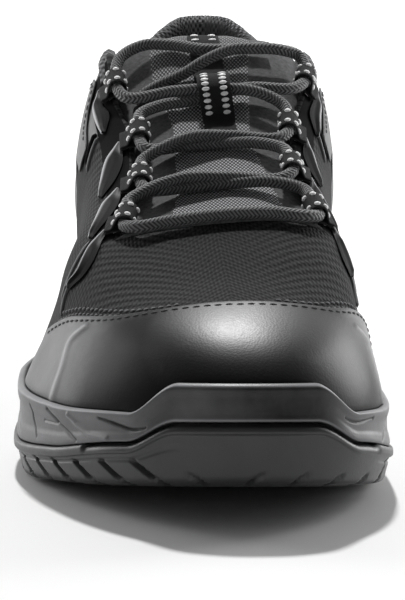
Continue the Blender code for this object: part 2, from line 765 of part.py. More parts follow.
def build_heel_counter(look, collection):
    """The smooth cover round the heel, which runs up to the top lace loop on each side."""
    turn = np.arange(-COUNTER_STATIONS, COUNTER_STATIONS + 1) / STATIONS
    rim = np.array([level_above_rim(t) for t in turn])
    low = np.maximum(rim, COUNTER("low", along_of(turn)))
    high = COUNTER("high", along_of(turn))
    return overlay("heel_counter", turn, low, high, 6, COUNTER_GAP, look, collection)


def build_strap(label, row, look, collection):
    """A leaf-shaped strap on the upper, between its outer and its inner edge."""
    scale = np.array([1.0, STRAP_GIRTH])
    outer_edge = through(STRAPS[label, row]["outer"] * scale, 9) / scale
    inner_edge = through(STRAPS[label, row]["inner"] * scale, 9) / scale
    share = np.linspace(0.0, 1.0, 3)[:, None, None]
    places = outer_edge + (inner_edge - outer_edge) * share
    turns = turn_of(places[..., 0], -1 if label == "lateral" else 1)
    points = upper(turns, places[..., 1])
    normal = upper_normal(turns, places[..., 1])
    inner = (points + normal * OVERLAY_GAP).reshape(-1, 3)
    outer = (points + normal * (OVERLAY_GAP + OVERLAY_THICK)).reshape(-1, 3)
    return sheet_solid(f"strap_{label}_{row}", outer, inner, grid_faces(3, 9), look, collection)


def build_tongue(look, collection):
    """The padded tongue under the throat."""
    along = np.linspace(TONGUE_TOP, TONGUE_END, 13)
    share = np.linspace(-1.0, 1.0, 9)
    half = np.where(share[:, None] < 0, TONGUE("lateral", along), TONGUE("medial", along))
    sideways = share[:, None] * half
    covered = np.maximum(ease(0.3, 0.7, np.abs(share))[:, None], ease(198.0, 209.0, along))
    depth = TONGUE_DEPTH_MID + (TONGUE_DEPTH_EDGE - TONGUE_DEPTH_MID) * covered
    thick = TONGUE_THICK * (1 - 0.5 * ease(0.6, 1.0, np.abs(share)))[:, None]
    alongs = np.broadcast_to(along, sideways.shape)
    outer = over_last(alongs, sideways, -depth * np.ones_like(alongs)).reshape(-1, 3)
    inner = over_last(alongs, sideways, -(depth + thick) * np.ones_like(alongs)).reshape(-1, 3)
    return sheet_solid("tongue", outer, inner, grid_faces(len(share), len(along)), look, collection)


def build_keeper(look, collection):
    """The webbing strip on the tongue, lifted where the lace runs under it."""
    path = np.array(KEEPER)
    low = []
    high = []
    for across in (-1.0, 0.0, 1.0):
        sideways = path[:, 1] + across * KEEPER_HALF
        low.append(over_last(path[:, 0], sideways, path[:, 2]))
        high.append(over_last(path[:, 0], sideways, path[:, 2] + KEEPER_THICK))
    faces = grid_faces(3, len(path))
    return sheet_solid("tongue_keeper", np.concatenate(high), np.concatenate(low), faces, look, collection)


def loop_frame(row, side):
    """Middle of a lace loop on the throat's edge and its directions: along the throat, outwards and up."""
    along = LOOP_ROWS[row]
    turn = turn_of(np.array([along - 2.0, along, along + 2.0]), side)
    back, edge, front = upper(turn, 1.0)
    tunnel = (back - front) / np.linalg.norm(back - front)
    outer = upper(turn[1], 0.96) - edge
    outer = outer - tunnel * (outer @ tunnel)
    outer = outer / np.linalg.norm(outer)
    rise = np.cross(tunnel, outer)
    rise = rise if rise[2] > 0 else -rise
    return edge - outer * LOOP_SET_IN + rise * LOOP_LIFT, tunnel, outer, rise


def build_loop(name, row, side, look, collection):
    """A webbing loop: a ring round the lace and a tail on the upper, as one flat outline extruded."""
    turns = np.linspace(math.radians(-38.0), math.radians(-322.0), 12)
    ring = [(LOOP_OUTER * math.cos(a), LOOP_OUTER * math.sin(a)) for a in turns]
    base = LOOP_OUTER * math.sin(turns[0])
    tail = [(LOOP_TAIL, base + LOOP_TAIL_THICK), (LOOP_TAIL, base)]
    around = np.linspace(0.0, 2 * math.pi, 11)[:-1]
    hole = [(LOOP_INNER * math.cos(a), LOOP_INNER * math.sin(a)) for a in around]
    middle, tunnel, outer, rise = loop_frame(row, side)
    outlines = [ring[:-1] + [(3.6, base + LOOP_TAIL_THICK + 0.6)] + tail, hole]
    curve = bpy.data.curves.new(name, "CURVE")
    curve.dimensions = "2D"
    curve.fill_mode = "BOTH"
    curve.extrude = LOOP_HALF * MM
    for outline in outlines:
        spline = curve.splines.new("POLY")
        spline.points.add(len(outline) - 1)
        for point, (across, up) in zip(spline.points, outline):
            point.co = (across * MM, up * MM, 0.0, 1.0)
        spline.use_cyclic_u = True
    source = bpy.data.objects.new(name + "_outline", curve)
    collection.objects.link(source)
    mesh = bpy.data.meshes.new_from_object(source.evaluated_get(bpy.context.evaluated_depsgraph_get()))
    local = np.array([vert.co[:] for vert in mesh.vertices]) / MM
    faces = [tuple(face.vertices) for face in mesh.polygons]
    points = middle + local[:, :1] * outer + local[:, 1:2] * rise + local[:, 2:] * tunnel
    bpy.data.objects.remove(source)
    return add_mesh(name, points, faces, look, collection)


def through(points, count):
    """A smooth path of evenly spaced places through a few points."""
    points = np.asarray(points, float)
    steps = np.linalg.norm(np.diff(points, axis=0), axis=1)
    knots = np.concatenate([[0.0], np.cumsum(steps)])
    at = np.linspace(0.0, knots[-1], count)
    return np.column_stack([catmull(knots, points[:, k], at) for k in range(points.shape[1])])


def catmull(xs, ys, x):
    """Cubic through the points (xs, ys) whose slope at each is that of its neighbours."""
    slopes = np.gradient(ys, xs)
    i = np.clip(np.searchsorted(xs, x) - 1, 0, len(xs) - 2)
    width = xs[i + 1] - xs[i]
    s = (x - xs[i]) / width
    start = (1 + 2 * s) * (1 - s) ** 2 * ys[i] + s * (1 - s) ** 2 * width * slopes[i]
    return start + s * s * (3 - 2 * s) * ys[i + 1] + s * s * (s - 1) * width * slopes[i + 1]


def over_tongue(run):
    """Points of a lace run given by (along, sideways, lift)."""
    along, sideways, lift = np.array(run).T
    return over_last(along, sideways, lift)


def lace_tube(name, points, count, look, collection):
    """A round cord through a few points, turned to a closed mesh."""
    path = through(points, count)
    curve = bpy.data.curves.new(name, "CURVE")
    curve.dimensions = "3D"
    curve.bevel_depth = LACE_RADIUS * MM
    curve.bevel_resolution = 2
    curve.use_fill_caps = True
    spline = curve.splines.new("POLY")
    spline.points.add(count - 1)
    for point, place in zip(spline.points, path):
        point.co = (*(place * MM), 1.0)
    source = bpy.data.objects.new(name + "_path", curve)
    collection.objects.link(source)
    mesh = bpy.data.meshes.new_from_object(source.evaluated_get(bpy.context.evaluated_depsgraph_get()))
    points = np.array([vert.co[:] for vert in mesh.vertices]) / MM
    faces = [tuple(face.vertices) for face in mesh.polygons]
    bpy.data.objects.remove(source)
    return add_mesh(name, points, faces, look, collection)


def build_lace(look, collection, cutters):
    """The lace: a bar below, three joined crossings and two free ends above."""
    lace_tube("lace_bar", over_tongue(LACE_BAR), 9, look, collection)
    for name, (first, second) in LACE_CROSSINGS.items():
        crossing = lace_tube("lace_crossing_" + name, over_tongue(first), 10, look, collection)
        other = lace_tube("lace_crossing_" + name + "_under", over_tongue(second), 10, look, cutters)
        other.hide_render = True
        other.display_type = "WIRE"
        join = crossing.modifiers.new("join", "BOOLEAN")
        join.operation = "UNION"
        join.solver = "EXACT"
        join.object = other
    for side, label in ((-1, "lateral"), (1, "medial")):
        middle, tunnel, _, _ = loop_frame(1, side)
        start = [middle + tunnel, middle + tunnel * LOOP_HALF]
        points = np.concatenate([start, over_tongue(LACE_ENDS[label])])
        lace_tube("lace_end_" + label, points, 14, look, collection)


def main():
    for old in list(bpy.data.objects):
        bpy.data.objects.remove(old)
    shoe = bpy.data.collections.new("work_shoe")
    cutters = bpy.data.collections.new("cutters")
    bpy.context.scene.collection.children.link(shoe)
    bpy.context.scene.collection.children.link(cutters)
    rubber = material("black_rubber", (0.012, 0.012, 0.013), 0.55)
    foam = material("dark_foam", (0.016, 0.016, 0.018), 0.6)
    textile = material("black_textile", (0.014, 0.014, 0.017), 0.85)
    leather = material("black_leather", (0.016, 0.016, 0.019), 0.42)
    trim = material("grey_trim", (0.05, 0.052, 0.06), 0.5)
    webbing = material("black_webbing", (0.02, 0.02, 0.022), 0.8)
    cord = material("black_cord", (0.013, 0.013, 0.015), 0.75)
    footbed = material("grey_footbed", (0.06, 0.06, 0.065), 0.9)
    build_outsole(rubber, shoe, cutters)
    build_midsole(foam, shoe)
    build_insole(footbed, shoe)
    build_upper(textile, shoe)
    build_toe_cap(leather, shoe)
    build_heel_counter(trim, shoe)
    build_tongue(textile, shoe)
    build_keeper(webbing, shoe)
    for side, label in ((-1, "lateral"), (1, "medial")):
        for row in LOOP_ROWS:
            build_loop(f"lace_loop_{label}_{row}", row, side, webbing, shoe)
    for label, row in STRAPS:
        build_strap(label, row, trim, shoe)
    build_lace(cord, shoe, cutters)


main()
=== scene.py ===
import math

import bmesh
import bpy
import numpy as np
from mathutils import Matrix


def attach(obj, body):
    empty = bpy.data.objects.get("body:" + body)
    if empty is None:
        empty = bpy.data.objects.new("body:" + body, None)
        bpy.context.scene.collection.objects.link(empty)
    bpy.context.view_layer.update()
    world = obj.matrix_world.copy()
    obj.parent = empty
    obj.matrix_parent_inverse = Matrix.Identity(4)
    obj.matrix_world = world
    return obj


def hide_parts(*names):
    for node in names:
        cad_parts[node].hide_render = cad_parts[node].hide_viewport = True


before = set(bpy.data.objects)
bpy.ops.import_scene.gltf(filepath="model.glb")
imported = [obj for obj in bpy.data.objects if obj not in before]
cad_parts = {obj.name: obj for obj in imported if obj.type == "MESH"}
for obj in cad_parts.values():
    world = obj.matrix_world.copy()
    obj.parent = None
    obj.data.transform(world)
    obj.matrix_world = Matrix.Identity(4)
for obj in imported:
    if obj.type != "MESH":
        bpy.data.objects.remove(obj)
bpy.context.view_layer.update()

# Shared form of the shoe, in millimetres: toe to -Y, inner side to +X, floor at z = 0
mm = 0.001
length = 302.0


def tableOf(columns, rows):
    rows = np.array(rows, float)
    return {name: (rows[:, 0], rows[:, i]) for i, name in enumerate(columns.split())}


planTable = tableOf("along spine lateral medial", [  # middle line and half widths of the sole
    (0, 0, 38, 38), (45, 0, 41, 40), (85, 0, 40.5, 40), (120, 0, 41.5, 39.5), (155, 0.5, 46, 41.5),
    (178, 1.5, 52, 44), (200, 2.8, 57.4, 47), (222, 4.6, 58.7, 47.8), (260, 8.4, 55, 45.5),
    (302, 12, 48, 42)])
heightTable = tableOf("along tread line feather floor", [  # heights along the sole
    (0, 2, 14.5, 41, 29.5), (14, 0, 13.5, 40, 29), (84, 0, 12.5, 36, 27), (102, 4, 12.5, 34.5, 26),
    (132, 4, 12, 31.5, 23), (156, 0, 11.5, 29, 20.5), (200, 0, 11, 27, 18), (220, 0.3, 11, 26, 17.5),
    (256, 4.8, 15, 27, 20), (283, 9.6, 21.5, 30, 23.5), (302, 13.4, 25, 32.5, 26.5)])
lastColumns = "along ridge lean lateralPower medialPower lateralFlare medialFlare lateralSwell medialSwell"
lastTable = tableOf(lastColumns, [  # height over the sole, and the roundness, lean and swell of each side
    (0, 118, 0, 5.4, 6, 0, 0, 4, 4), (30, 118, 0, 5.4, 6, 0, 0, 4.6, 5), (98, 116, 0, 5.4, 6, 0, 0, 4, 6),
    (123, 105.2, 0.09, 5.4, 6, 0, 0, 2.5, 5.5), (151, 92.2, 0.09, 4.2, 4.6, 3, 0, 0.5, 3),
    (176, 82.7, 0.11, 3.8, 4, 6, 0.5, 0, 1.5), (201, 74.7, 0.1, 3.8, 4, 8, 2, 0, 0.5),
    (213, 71, 0.1, 3.8, 4, 8.5, 2.5, 0, 0), (228, 66, 0.09, 3.4, 3.6, 8.5, 3, 0, 0),
    (246, 60, 0.06, 2.9, 3, 7, 3, 0, 0), (265, 56, 0.03, 2.7, 2.7, 5, 3, 0, 0),
    (285, 53.5, 0, 2.7, 2.7, 3, 2.5, 0, 0), (302, 51, 0, 2.7, 2.7, 2, 2, 0, 0)])
collarTable = tableOf("along height lateralInset medialInset", [  # topline and how far it leans in
    (0, 112.5, 7, 7), (1.2, 112, 7, 7), (3.5, 110, 7, 7), (8, 106, 7, 6.5), (22, 99.5, 7.5, 6.2),
    (42, 94, 8, 5.5), (60, 92, 7, 4), (82, 96.5, 5, 2.5), (104, 109, 5, 2), (125, 110, 6, 2),
    (302, 110, 6, 2)])
throatTable = tableOf("along lateral medial", [  # half gaps of the throat
    (0, 29, 34), (104, 29, 34), (124, 28, 32), (153, 21.8, 27.2), (179, 22.2, 26.8), (204, 27.4, 31),
    (212.4, 29, 32), (246, 22, 24), (302, 12, 12)])


def smoothThrough(xs, ys, x):  # monotone cubic, level past both ends
    widths = np.diff(xs)
    slopes = np.diff(ys) / widths
    tangents = np.concatenate([slopes[:1], np.zeros(len(xs) - 2), slopes[-1:]])
    rising = slopes[:-1] * slopes[1:] > 0
    before, after = 2 * widths[1:] + widths[:-1], widths[1:] + 2 * widths[:-1]
    left, right = np.where(rising, slopes[:-1], 1.0), np.where(rising, slopes[1:], 1.0)
    tangents[1:-1] = np.where(rising, (before + after) / (before / left + after / right), 0.0)
    x = np.clip(x, xs[0], xs[-1])
    i = np.clip(np.searchsorted(xs, x) - 1, 0, len(xs) - 2)
    s = (x - xs[i]) / widths[i]
    start = (1 + 2 * s) * (1 - s) ** 2 * ys[i] + s * (1 - s) ** 2 * widths[i] * tangents[i]
    return start + s * s * (3 - 2 * s) * ys[i + 1] + s * s * (s - 1) * widths[i] * tangents[i + 1]


def at(table, name, along):
    return smoothThrough(*table[name], np.asarray(along, float))


def bySide(table, name, along, side):  # a table's lateral column at negative sides, else its medial one
    return np.where(side < 0, at(table, "lateral" + name, along), at(table, "medial" + name, along))


def ease(low, high, value):
    s = np.clip((value - low) / (high - low), 0.0, 1.0)
    return s * s * (3 - 2 * s)


def bell(away, width):
    return np.exp(-((away / width) ** 2))


def unit(vectors):
    return vectors / np.maximum(np.linalg.norm(vectors, axis=-1, keepdims=True), 1e-9)


def alongOf(turn):  # turn 0 is the heel, 1 the toe by the lateral side, 2 the heel again
    return length * (1 - np.cos(np.pi * turn)) / 2


def turnOf(along, side):
    turn = np.arccos(np.clip(1 - 2 * np.asarray(along, float) / length, -1.0, 1.0)) / np.pi
    return np.where(np.asarray(side) < 0, turn, 2 - turn)


def sideOf(turn):
    return np.where(np.mod(turn, 2.0) < 1.0, -1.0, 1.0)


def roundedEnd(depth, radius, power):
    return (1 - np.clip(1 - depth / radius, 0.0, 1.0) ** power) ** (1 / power)


def edgeLine(turn):  # widest line of the sole, seen from above
    along = alongOf(turn)
    lateral = at(planTable, "lateral", along) * roundedEnd(length - along, 84.0, 2.25)
    medial = at(planTable, "medial", along) * roundedEnd(length - along, 60.0, 2.25)
    side = sideOf(turn)
    half = np.where(side < 0, lateral, medial) * roundedEnd(along, 44.0, 2.2)
    return np.stack([at(planTable, "spine", along) + side * half, length / 2 - along], -1)


def outwardOf(turn):
    run = unit(edgeLine(turn + 0.002) - edgeLine(turn - 0.002))
    return np.stack([run[..., 1], -run[..., 0]], -1)


def bumperShare(turn):  # 1 across the front of the toe
    return 1 - ease(20.0, 37.0, np.linalg.norm(edgeLine(turn) - edgeLine(np.array(1.0)), axis=-1))


def soleRing(turn, outset, height):
    plan = edgeLine(turn) + outwardOf(turn) * np.broadcast_to(outset, turn.shape)[..., None]
    return np.concatenate([plan, np.broadcast_to(height, turn.shape)[..., None]], -1)


def lastColumn(name, turn):
    return bySide(lastTable, name, alongOf(turn), sideOf(turn))


def lastFrame(turn):
    out = outwardOf(turn)
    ahead = alongOf(turn) - 246.0
    pivot = 246.0 + (ahead - np.sqrt(ahead**2 + 144.0)) / 2
    ridge = np.stack([at(planTable, "spine", pivot), length / 2 - pivot], -1)
    return edgeLine(turn) - out * 5.0, out, ridge


def archPoint(turn, share):  # closed last: share 0 is the feather line, 1 the ridge
    base, out, ridge = lastFrame(turn)
    power = lastColumn("Power", turn)
    openShare = np.clip(np.cos(share * np.pi / 2), 0.0, 1.0) ** (2 / power)
    up = np.clip(np.sin(share * np.pi / 2), 0.0, 1.0) ** (2 / power)
    leanIn = (ease(-0.15, 0.55, up) - ease(-0.15, 0.55, 0.0)) * openShare
    shift = lastColumn("Swell", turn) * np.sin(np.pi * up) - lastColumn("Flare", turn) * leanIn
    plan = ridge + (base - ridge) * openShare[..., None] + out * shift[..., None]
    foot = at(heightTable, "feather", alongOf(turn))
    place = length / 2 - plan[..., 1]
    crown = at(lastTable, "ridge", place) + at(lastTable, "lean", place) * (plan[..., 0] - ridge[..., 0])
    return np.concatenate([plan, (foot + (crown - foot) * up)[..., None]], -1)


def quarterPoint(turn, share):  # back of the upper, up to the collar
    along = alongOf(turn)
    base, out, _ = lastFrame(turn)
    foot = at(heightTable, "feather", along)
    inset = bySide(collarTable, "Inset", along, sideOf(turn))
    shift = lastColumn("Swell", turn) * np.sin(np.pi * share) - inset * share**2.4
    height = foot + (at(collarTable, "height", along) - foot) * share
    return np.concatenate([base + out * shift[..., None], height[..., None]], -1)


def throatCuts(turn):
    gap = bySide(throatTable, "", alongOf(turn), sideOf(turn))
    share = np.linspace(1.0, 0.02, 240)
    points = archPoint(turn[:, None], share)
    reach = np.maximum.accumulate(np.linalg.norm(points[..., :2] - points[:, :1, :2], axis=-1), axis=1)
    return np.array([np.interp(place, row, share) for place, row in zip(gap, reach)])


cutTurns = np.linspace(0.0, 2.0, 721)
cutShares = throatCuts(cutTurns)


def upperPoint(turn, level):  # level 0 is the feather line, 1 the collar and throat edge, 2 the ridge
    turn, level = np.broadcast_arrays(np.asarray(turn, float), np.asarray(level, float))
    cut = np.interp(np.mod(turn, 2.0), cutTurns, cutShares)
    share = np.where(level <= 1, level * cut, cut + (level - 1) * (1 - cut))
    front, back = archPoint(turn, share), quarterPoint(turn, np.minimum(level, 1.0))
    return back + (front - back) * ease(88.0, 120.0, alongOf(turn))[..., None]


def upperNormal(turn, level):
    around = upperPoint(turn + 0.004, level) - upperPoint(turn - 0.004, level)
    rise = upperPoint(turn, np.minimum(level + 0.01, 2.0)) - upperPoint(turn, np.maximum(level - 0.01, 0.0))
    return unit(np.cross(around, rise))


def onUpper(turn, level, lift):
    return upperPoint(turn, level) + upperNormal(turn, level) * np.asarray(lift, float)[..., None]


def lastHeight(along, sideways):
    turn = turnOf(along, np.where(sideways < 0, -1, 1)).reshape(-1, 1)
    points = archPoint(turn, np.linspace(1.0, 0.25, 60))
    reach = np.maximum.accumulate(np.abs(points[..., 0] - points[:, :1, 0]), axis=1)
    rows = zip(np.abs(sideways).ravel(), reach, points[..., 2])
    return np.array([np.interp(place, row, heights) for place, row, heights in rows]).reshape(along.shape)


def instepFrame(along, sideways):  # point on the last's instep and its normal
    along, sideways = np.broadcast_arrays(np.asarray(along, float), np.asarray(sideways, float))
    height = lastHeight(along, sideways)
    slopeAlong = (lastHeight(along + 1, sideways) - lastHeight(along - 1, sideways)) / 2
    slopeSide = (lastHeight(along, sideways + 1) - lastHeight(along, sideways - 1)) / 2
    point = np.stack([at(planTable, "spine", along) + sideways, length / 2 - along, height], -1)
    return point, unit(np.stack([-slopeSide, slopeAlong, np.ones_like(height)], -1))


def overInstep(places):
    along, sideways, lift = np.array(places, float).T
    point, normal = instepFrame(along, sideways)
    return point + normal * lift[:, None]


def through(points, count):  # smooth path of even steps through a few points
    points = np.asarray(points, float)
    knots = np.concatenate([[0.0], np.cumsum(np.linalg.norm(np.diff(points, axis=0), axis=1))])
    x = np.linspace(0.0, knots[-1], count)
    i = np.clip(np.searchsorted(knots, x) - 1, 0, len(knots) - 2)
    width = (knots[i + 1] - knots[i])[:, None]
    s = (x - knots[i])[:, None] / width
    slopes = np.gradient(points, knots, axis=0)
    start = (1 + 2 * s) * (1 - s) ** 2 * points[i] + s * (1 - s) ** 2 * width * slopes[i]
    return start + s * s * (3 - 2 * s) * points[i + 1] + s * s * (s - 1) * width * slopes[i + 1]


def runLength(points):
    return np.concatenate([[0.0], np.cumsum(np.linalg.norm(np.diff(points, axis=0), axis=-1))])


# Mesh tools: patches are grids of points with a uv in centimetres
def weld(patches):
    points, quads, uvs, start = [], [], [], 0
    for grid, uv in patches:
        rows, columns = grid.shape[:2]
        k = np.arange(rows * columns).reshape(rows, columns) + start
        quads.append(np.stack([k[:-1, :-1], k[:-1, 1:], k[1:, 1:], k[1:, :-1]], -1).reshape(-1, 4))
        points.append(grid.reshape(-1, 3))
        uvs.append(uv.reshape(-1, 2))
        start += rows * columns
    points, quads, uvs = np.concatenate(points), np.concatenate(quads), np.concatenate(uvs)
    spots = np.round(points / 0.002).astype(np.int64)  # points in one spot become one
    _, first, inverse = np.unique(spots, axis=0, return_index=True, return_inverse=True)
    return first, points, inverse.reshape(-1)[quads], uvs[quads]


def rimmedSheet(patches, inner, steps=4):  # closed body of two sheets with a rounded rim
    first, points, quads, corners = weld(patches)
    outer, inner = points[first], np.concatenate([grid.reshape(-1, 3) for grid in inner])[first]
    count = len(outer)
    edges = np.concatenate([quads[:, [i, (i + 1) % 4]] for i in range(4)])
    owners = np.tile(np.arange(len(quads)), 4)
    real = edges[:, 0] != edges[:, 1]
    edges, owners = edges[real], owners[real]
    single = ~np.isin(edges[:, 1] * count + edges[:, 0], edges[:, 0] * count + edges[:, 1])
    edges, owners = edges[single], owners[single]
    middle = (outer + inner) / 2
    away = middle[edges].mean(1) - middle[quads[owners]].mean(1)
    run = unit(middle[edges[:, 1]] - middle[edges[:, 0]])
    away = unit(away - run * (away * run).sum(-1, keepdims=True))
    ends = np.zeros_like(outer)
    np.add.at(ends, edges[:, 0], away)
    np.add.at(ends, edges[:, 1], away)
    rim = np.unique(edges)
    order = np.full(count, -1)
    order[rim] = np.arange(len(rim))
    half = (outer[rim] - inner[rim]) / 2
    bulge = unit(ends[rim]) * np.linalg.norm(half, axis=1)[:, None]
    turns = np.pi * np.arange(1, steps + 1) / (steps + 1)
    rows = [middle[rim] + half * math.cos(a) + bulge * math.sin(a) for a in turns]
    chain = [edges] + [order[edges] + 2 * count + k * len(rim) for k in range(steps)] + [edges + count]
    walls = [np.stack([a[:, 1], a[:, 0], b[:, 0], b[:, 1]], -1) for a, b in zip(chain[:-1], chain[1:])]
    spot = np.zeros((count, 2))
    spot[quads] = corners
    wallUv = np.concatenate([np.stack([spot[edges[:, i]] for i in (1, 0, 0, 1)], 1)] * len(walls))
    faces = np.concatenate([quads, quads[:, ::-1] + count] + walls)
    uv = np.concatenate([corners, corners[:, ::-1], wallUv])
    origin = first[np.concatenate([np.arange(count)] * 2 + [rim] * steps)]
    return np.concatenate([outer, inner] + rows), faces, uv, origin


def addPiece(name, points, faces, uv, finish, nodes=(), faceLooks=None, mark=None):
    mesh = bpy.data.meshes.new(name)
    keep = np.stack([faces[:, i] != faces[:, (i + 1) % 4] for i in range(4)], 1)  # no doubled corners
    keep[keep.sum(1) < 3] = False
    loops = [face[kept].tolist() for face, kept in zip(faces, keep) if kept.any()]
    mesh.from_pydata((points * mm).tolist(), [], loops)
    layer = mesh.uv_layers.new(name="UVMap")
    layer.data.foreach_set("uv", (uv[keep] * 0.1).astype(np.float32).ravel())
    if mark is not None:
        mesh.attributes.new("mark", "FLOAT", "POINT").data.foreach_set("value", np.asarray(mark, np.float32))
    if faceLooks is not None:
        mesh.polygons.foreach_set("material_index", np.asarray(faceLooks, np.int32)[keep.any(1)])
    work = bmesh.new()
    work.from_mesh(mesh)
    bmesh.ops.delete(work, geom=[v for v in work.verts if not v.link_faces], context="VERTS")
    bmesh.ops.recalc_face_normals(work, faces=work.faces)
    work.to_mesh(mesh)
    work.free()
    mesh.polygons.foreach_set("use_smooth", np.ones(len(mesh.polygons), bool))
    for look in finish if isinstance(finish, list) else [finish]:
        mesh.materials.append(look)
    piece = bpy.data.objects.new(name, mesh)
    bpy.context.scene.collection.objects.link(piece)
    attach(piece, "root")
    if nodes:
        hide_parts(*nodes)
    return piece


def bodyPiece(name, patches, finish, nodes=(), marks=None):
    first, points, quads, corners = weld(patches)
    mark = None if marks is None else np.concatenate([m.ravel() for m in marks])[first]
    return addPiece(name, points[first], quads, corners, finish, nodes, mark=mark)


def sheetPiece(name, outer, inner, finish, nodes=(), steps=4, marks=None):
    points, faces, uv, origin = rimmedSheet([patch(outer)], [inner], steps)
    mark = None if marks is None else np.ravel(marks)[origin]
    return addPiece(name, points, faces, uv, finish, nodes, mark=mark)


def evenUv(grid):  # millimetres along both ways of a grid, measured through its middle
    rows, columns = grid.shape[:2]
    u = runLength(grid[rows // 2])
    steps = np.linalg.norm(np.diff(grid, axis=0), axis=-1)
    v = np.concatenate([np.zeros((1, columns)), np.cumsum(steps, axis=0)])
    return np.stack([np.broadcast_to(u, (rows, columns)), v], -1)


def patch(grid):
    return grid, evenUv(grid)


def flatPatch(grid):  # seen from above
    return grid, grid[..., :2].copy()


# Lace: along, sideways and lift above the last, as in the solids
lace = {
    "radius": 1.8, "ring": 0.29, "segments": 16, "pitch": 1.2, "lean": 7.0, "sectors": 3.0, "relief": 0.035,
    "bar": [(213.4, -22.5, 2.9), (213.0, -13.0, 2.6), (211.8, 2.0, 2.4), (213.0, 17.0, 2.6),
            (213.4, 26.0, 2.9)],
    "lower": (
        [(195.4, -23.6, 2.6), (190.6, -17.0, 3.2), (187.5, -8.0, 3.4), (186.5, 6.0, 1.6), (188.0, 21.7, 2.2)],
        [(195.4, 26.7, 2.6), (190.6, 18.0, 1.6), (188.0, 6.0, 0.3), (187.5, -7.0, 0.3), (188.0, -18.2, 2.2)]),
    "middle": (
        [(170.4, -18.5, 2.6), (166.0, -12.0, 3.2), (162.5, -4.0, 3.4), (161.0, 8.0, 1.6), (162.0, 22.2, 2.2)],
        [(170.4, 22.7, 2.6), (166.0, 16.0, 1.6), (163.0, 6.0, 0.3), (162.0, -5.0, 0.3), (162.0, -17.6, 2.2)]),
    "upper": (
        [(144.4, -18.6, 2.6), (140.6, -13.0, 1.8), (138.0, -4.0, 0.5), (135.5, 14.0, 1.8),
         (133.0, 27.2, 2.4)],
        [(144.4, 23.7, 2.6), (140.0, 17.0, 3.2), (137.5, 7.0, 3.5), (135.5, -8.0, 2.8), (133.0, -23.2, 2.4)]),
    "lateralEnd": [(112.6, -24.4, 2.2), (108.8, -18.0, 0.9), (109.6, -9.0, 0.6), (113.2, 0.8, 1.2),
                   (113.4, 9.0, 0.8), (112.4, 15.0, 0.2), (111.4, 20.5, 0.1)],
    "medialEnd": [(114.6, 28.2, 2.6), (116.4, 23.0, 3.0), (117.4, 16.5, 3.5), (117.6, 9.0, 3.7),
                  (120.4, 1.5, 2.8), (124.0, -6.0, 0.8), (127.0, -12.5, 0.1), (129.6, -17.6, -0.6),
                  (131.8, -20.8, -1.2)],
}


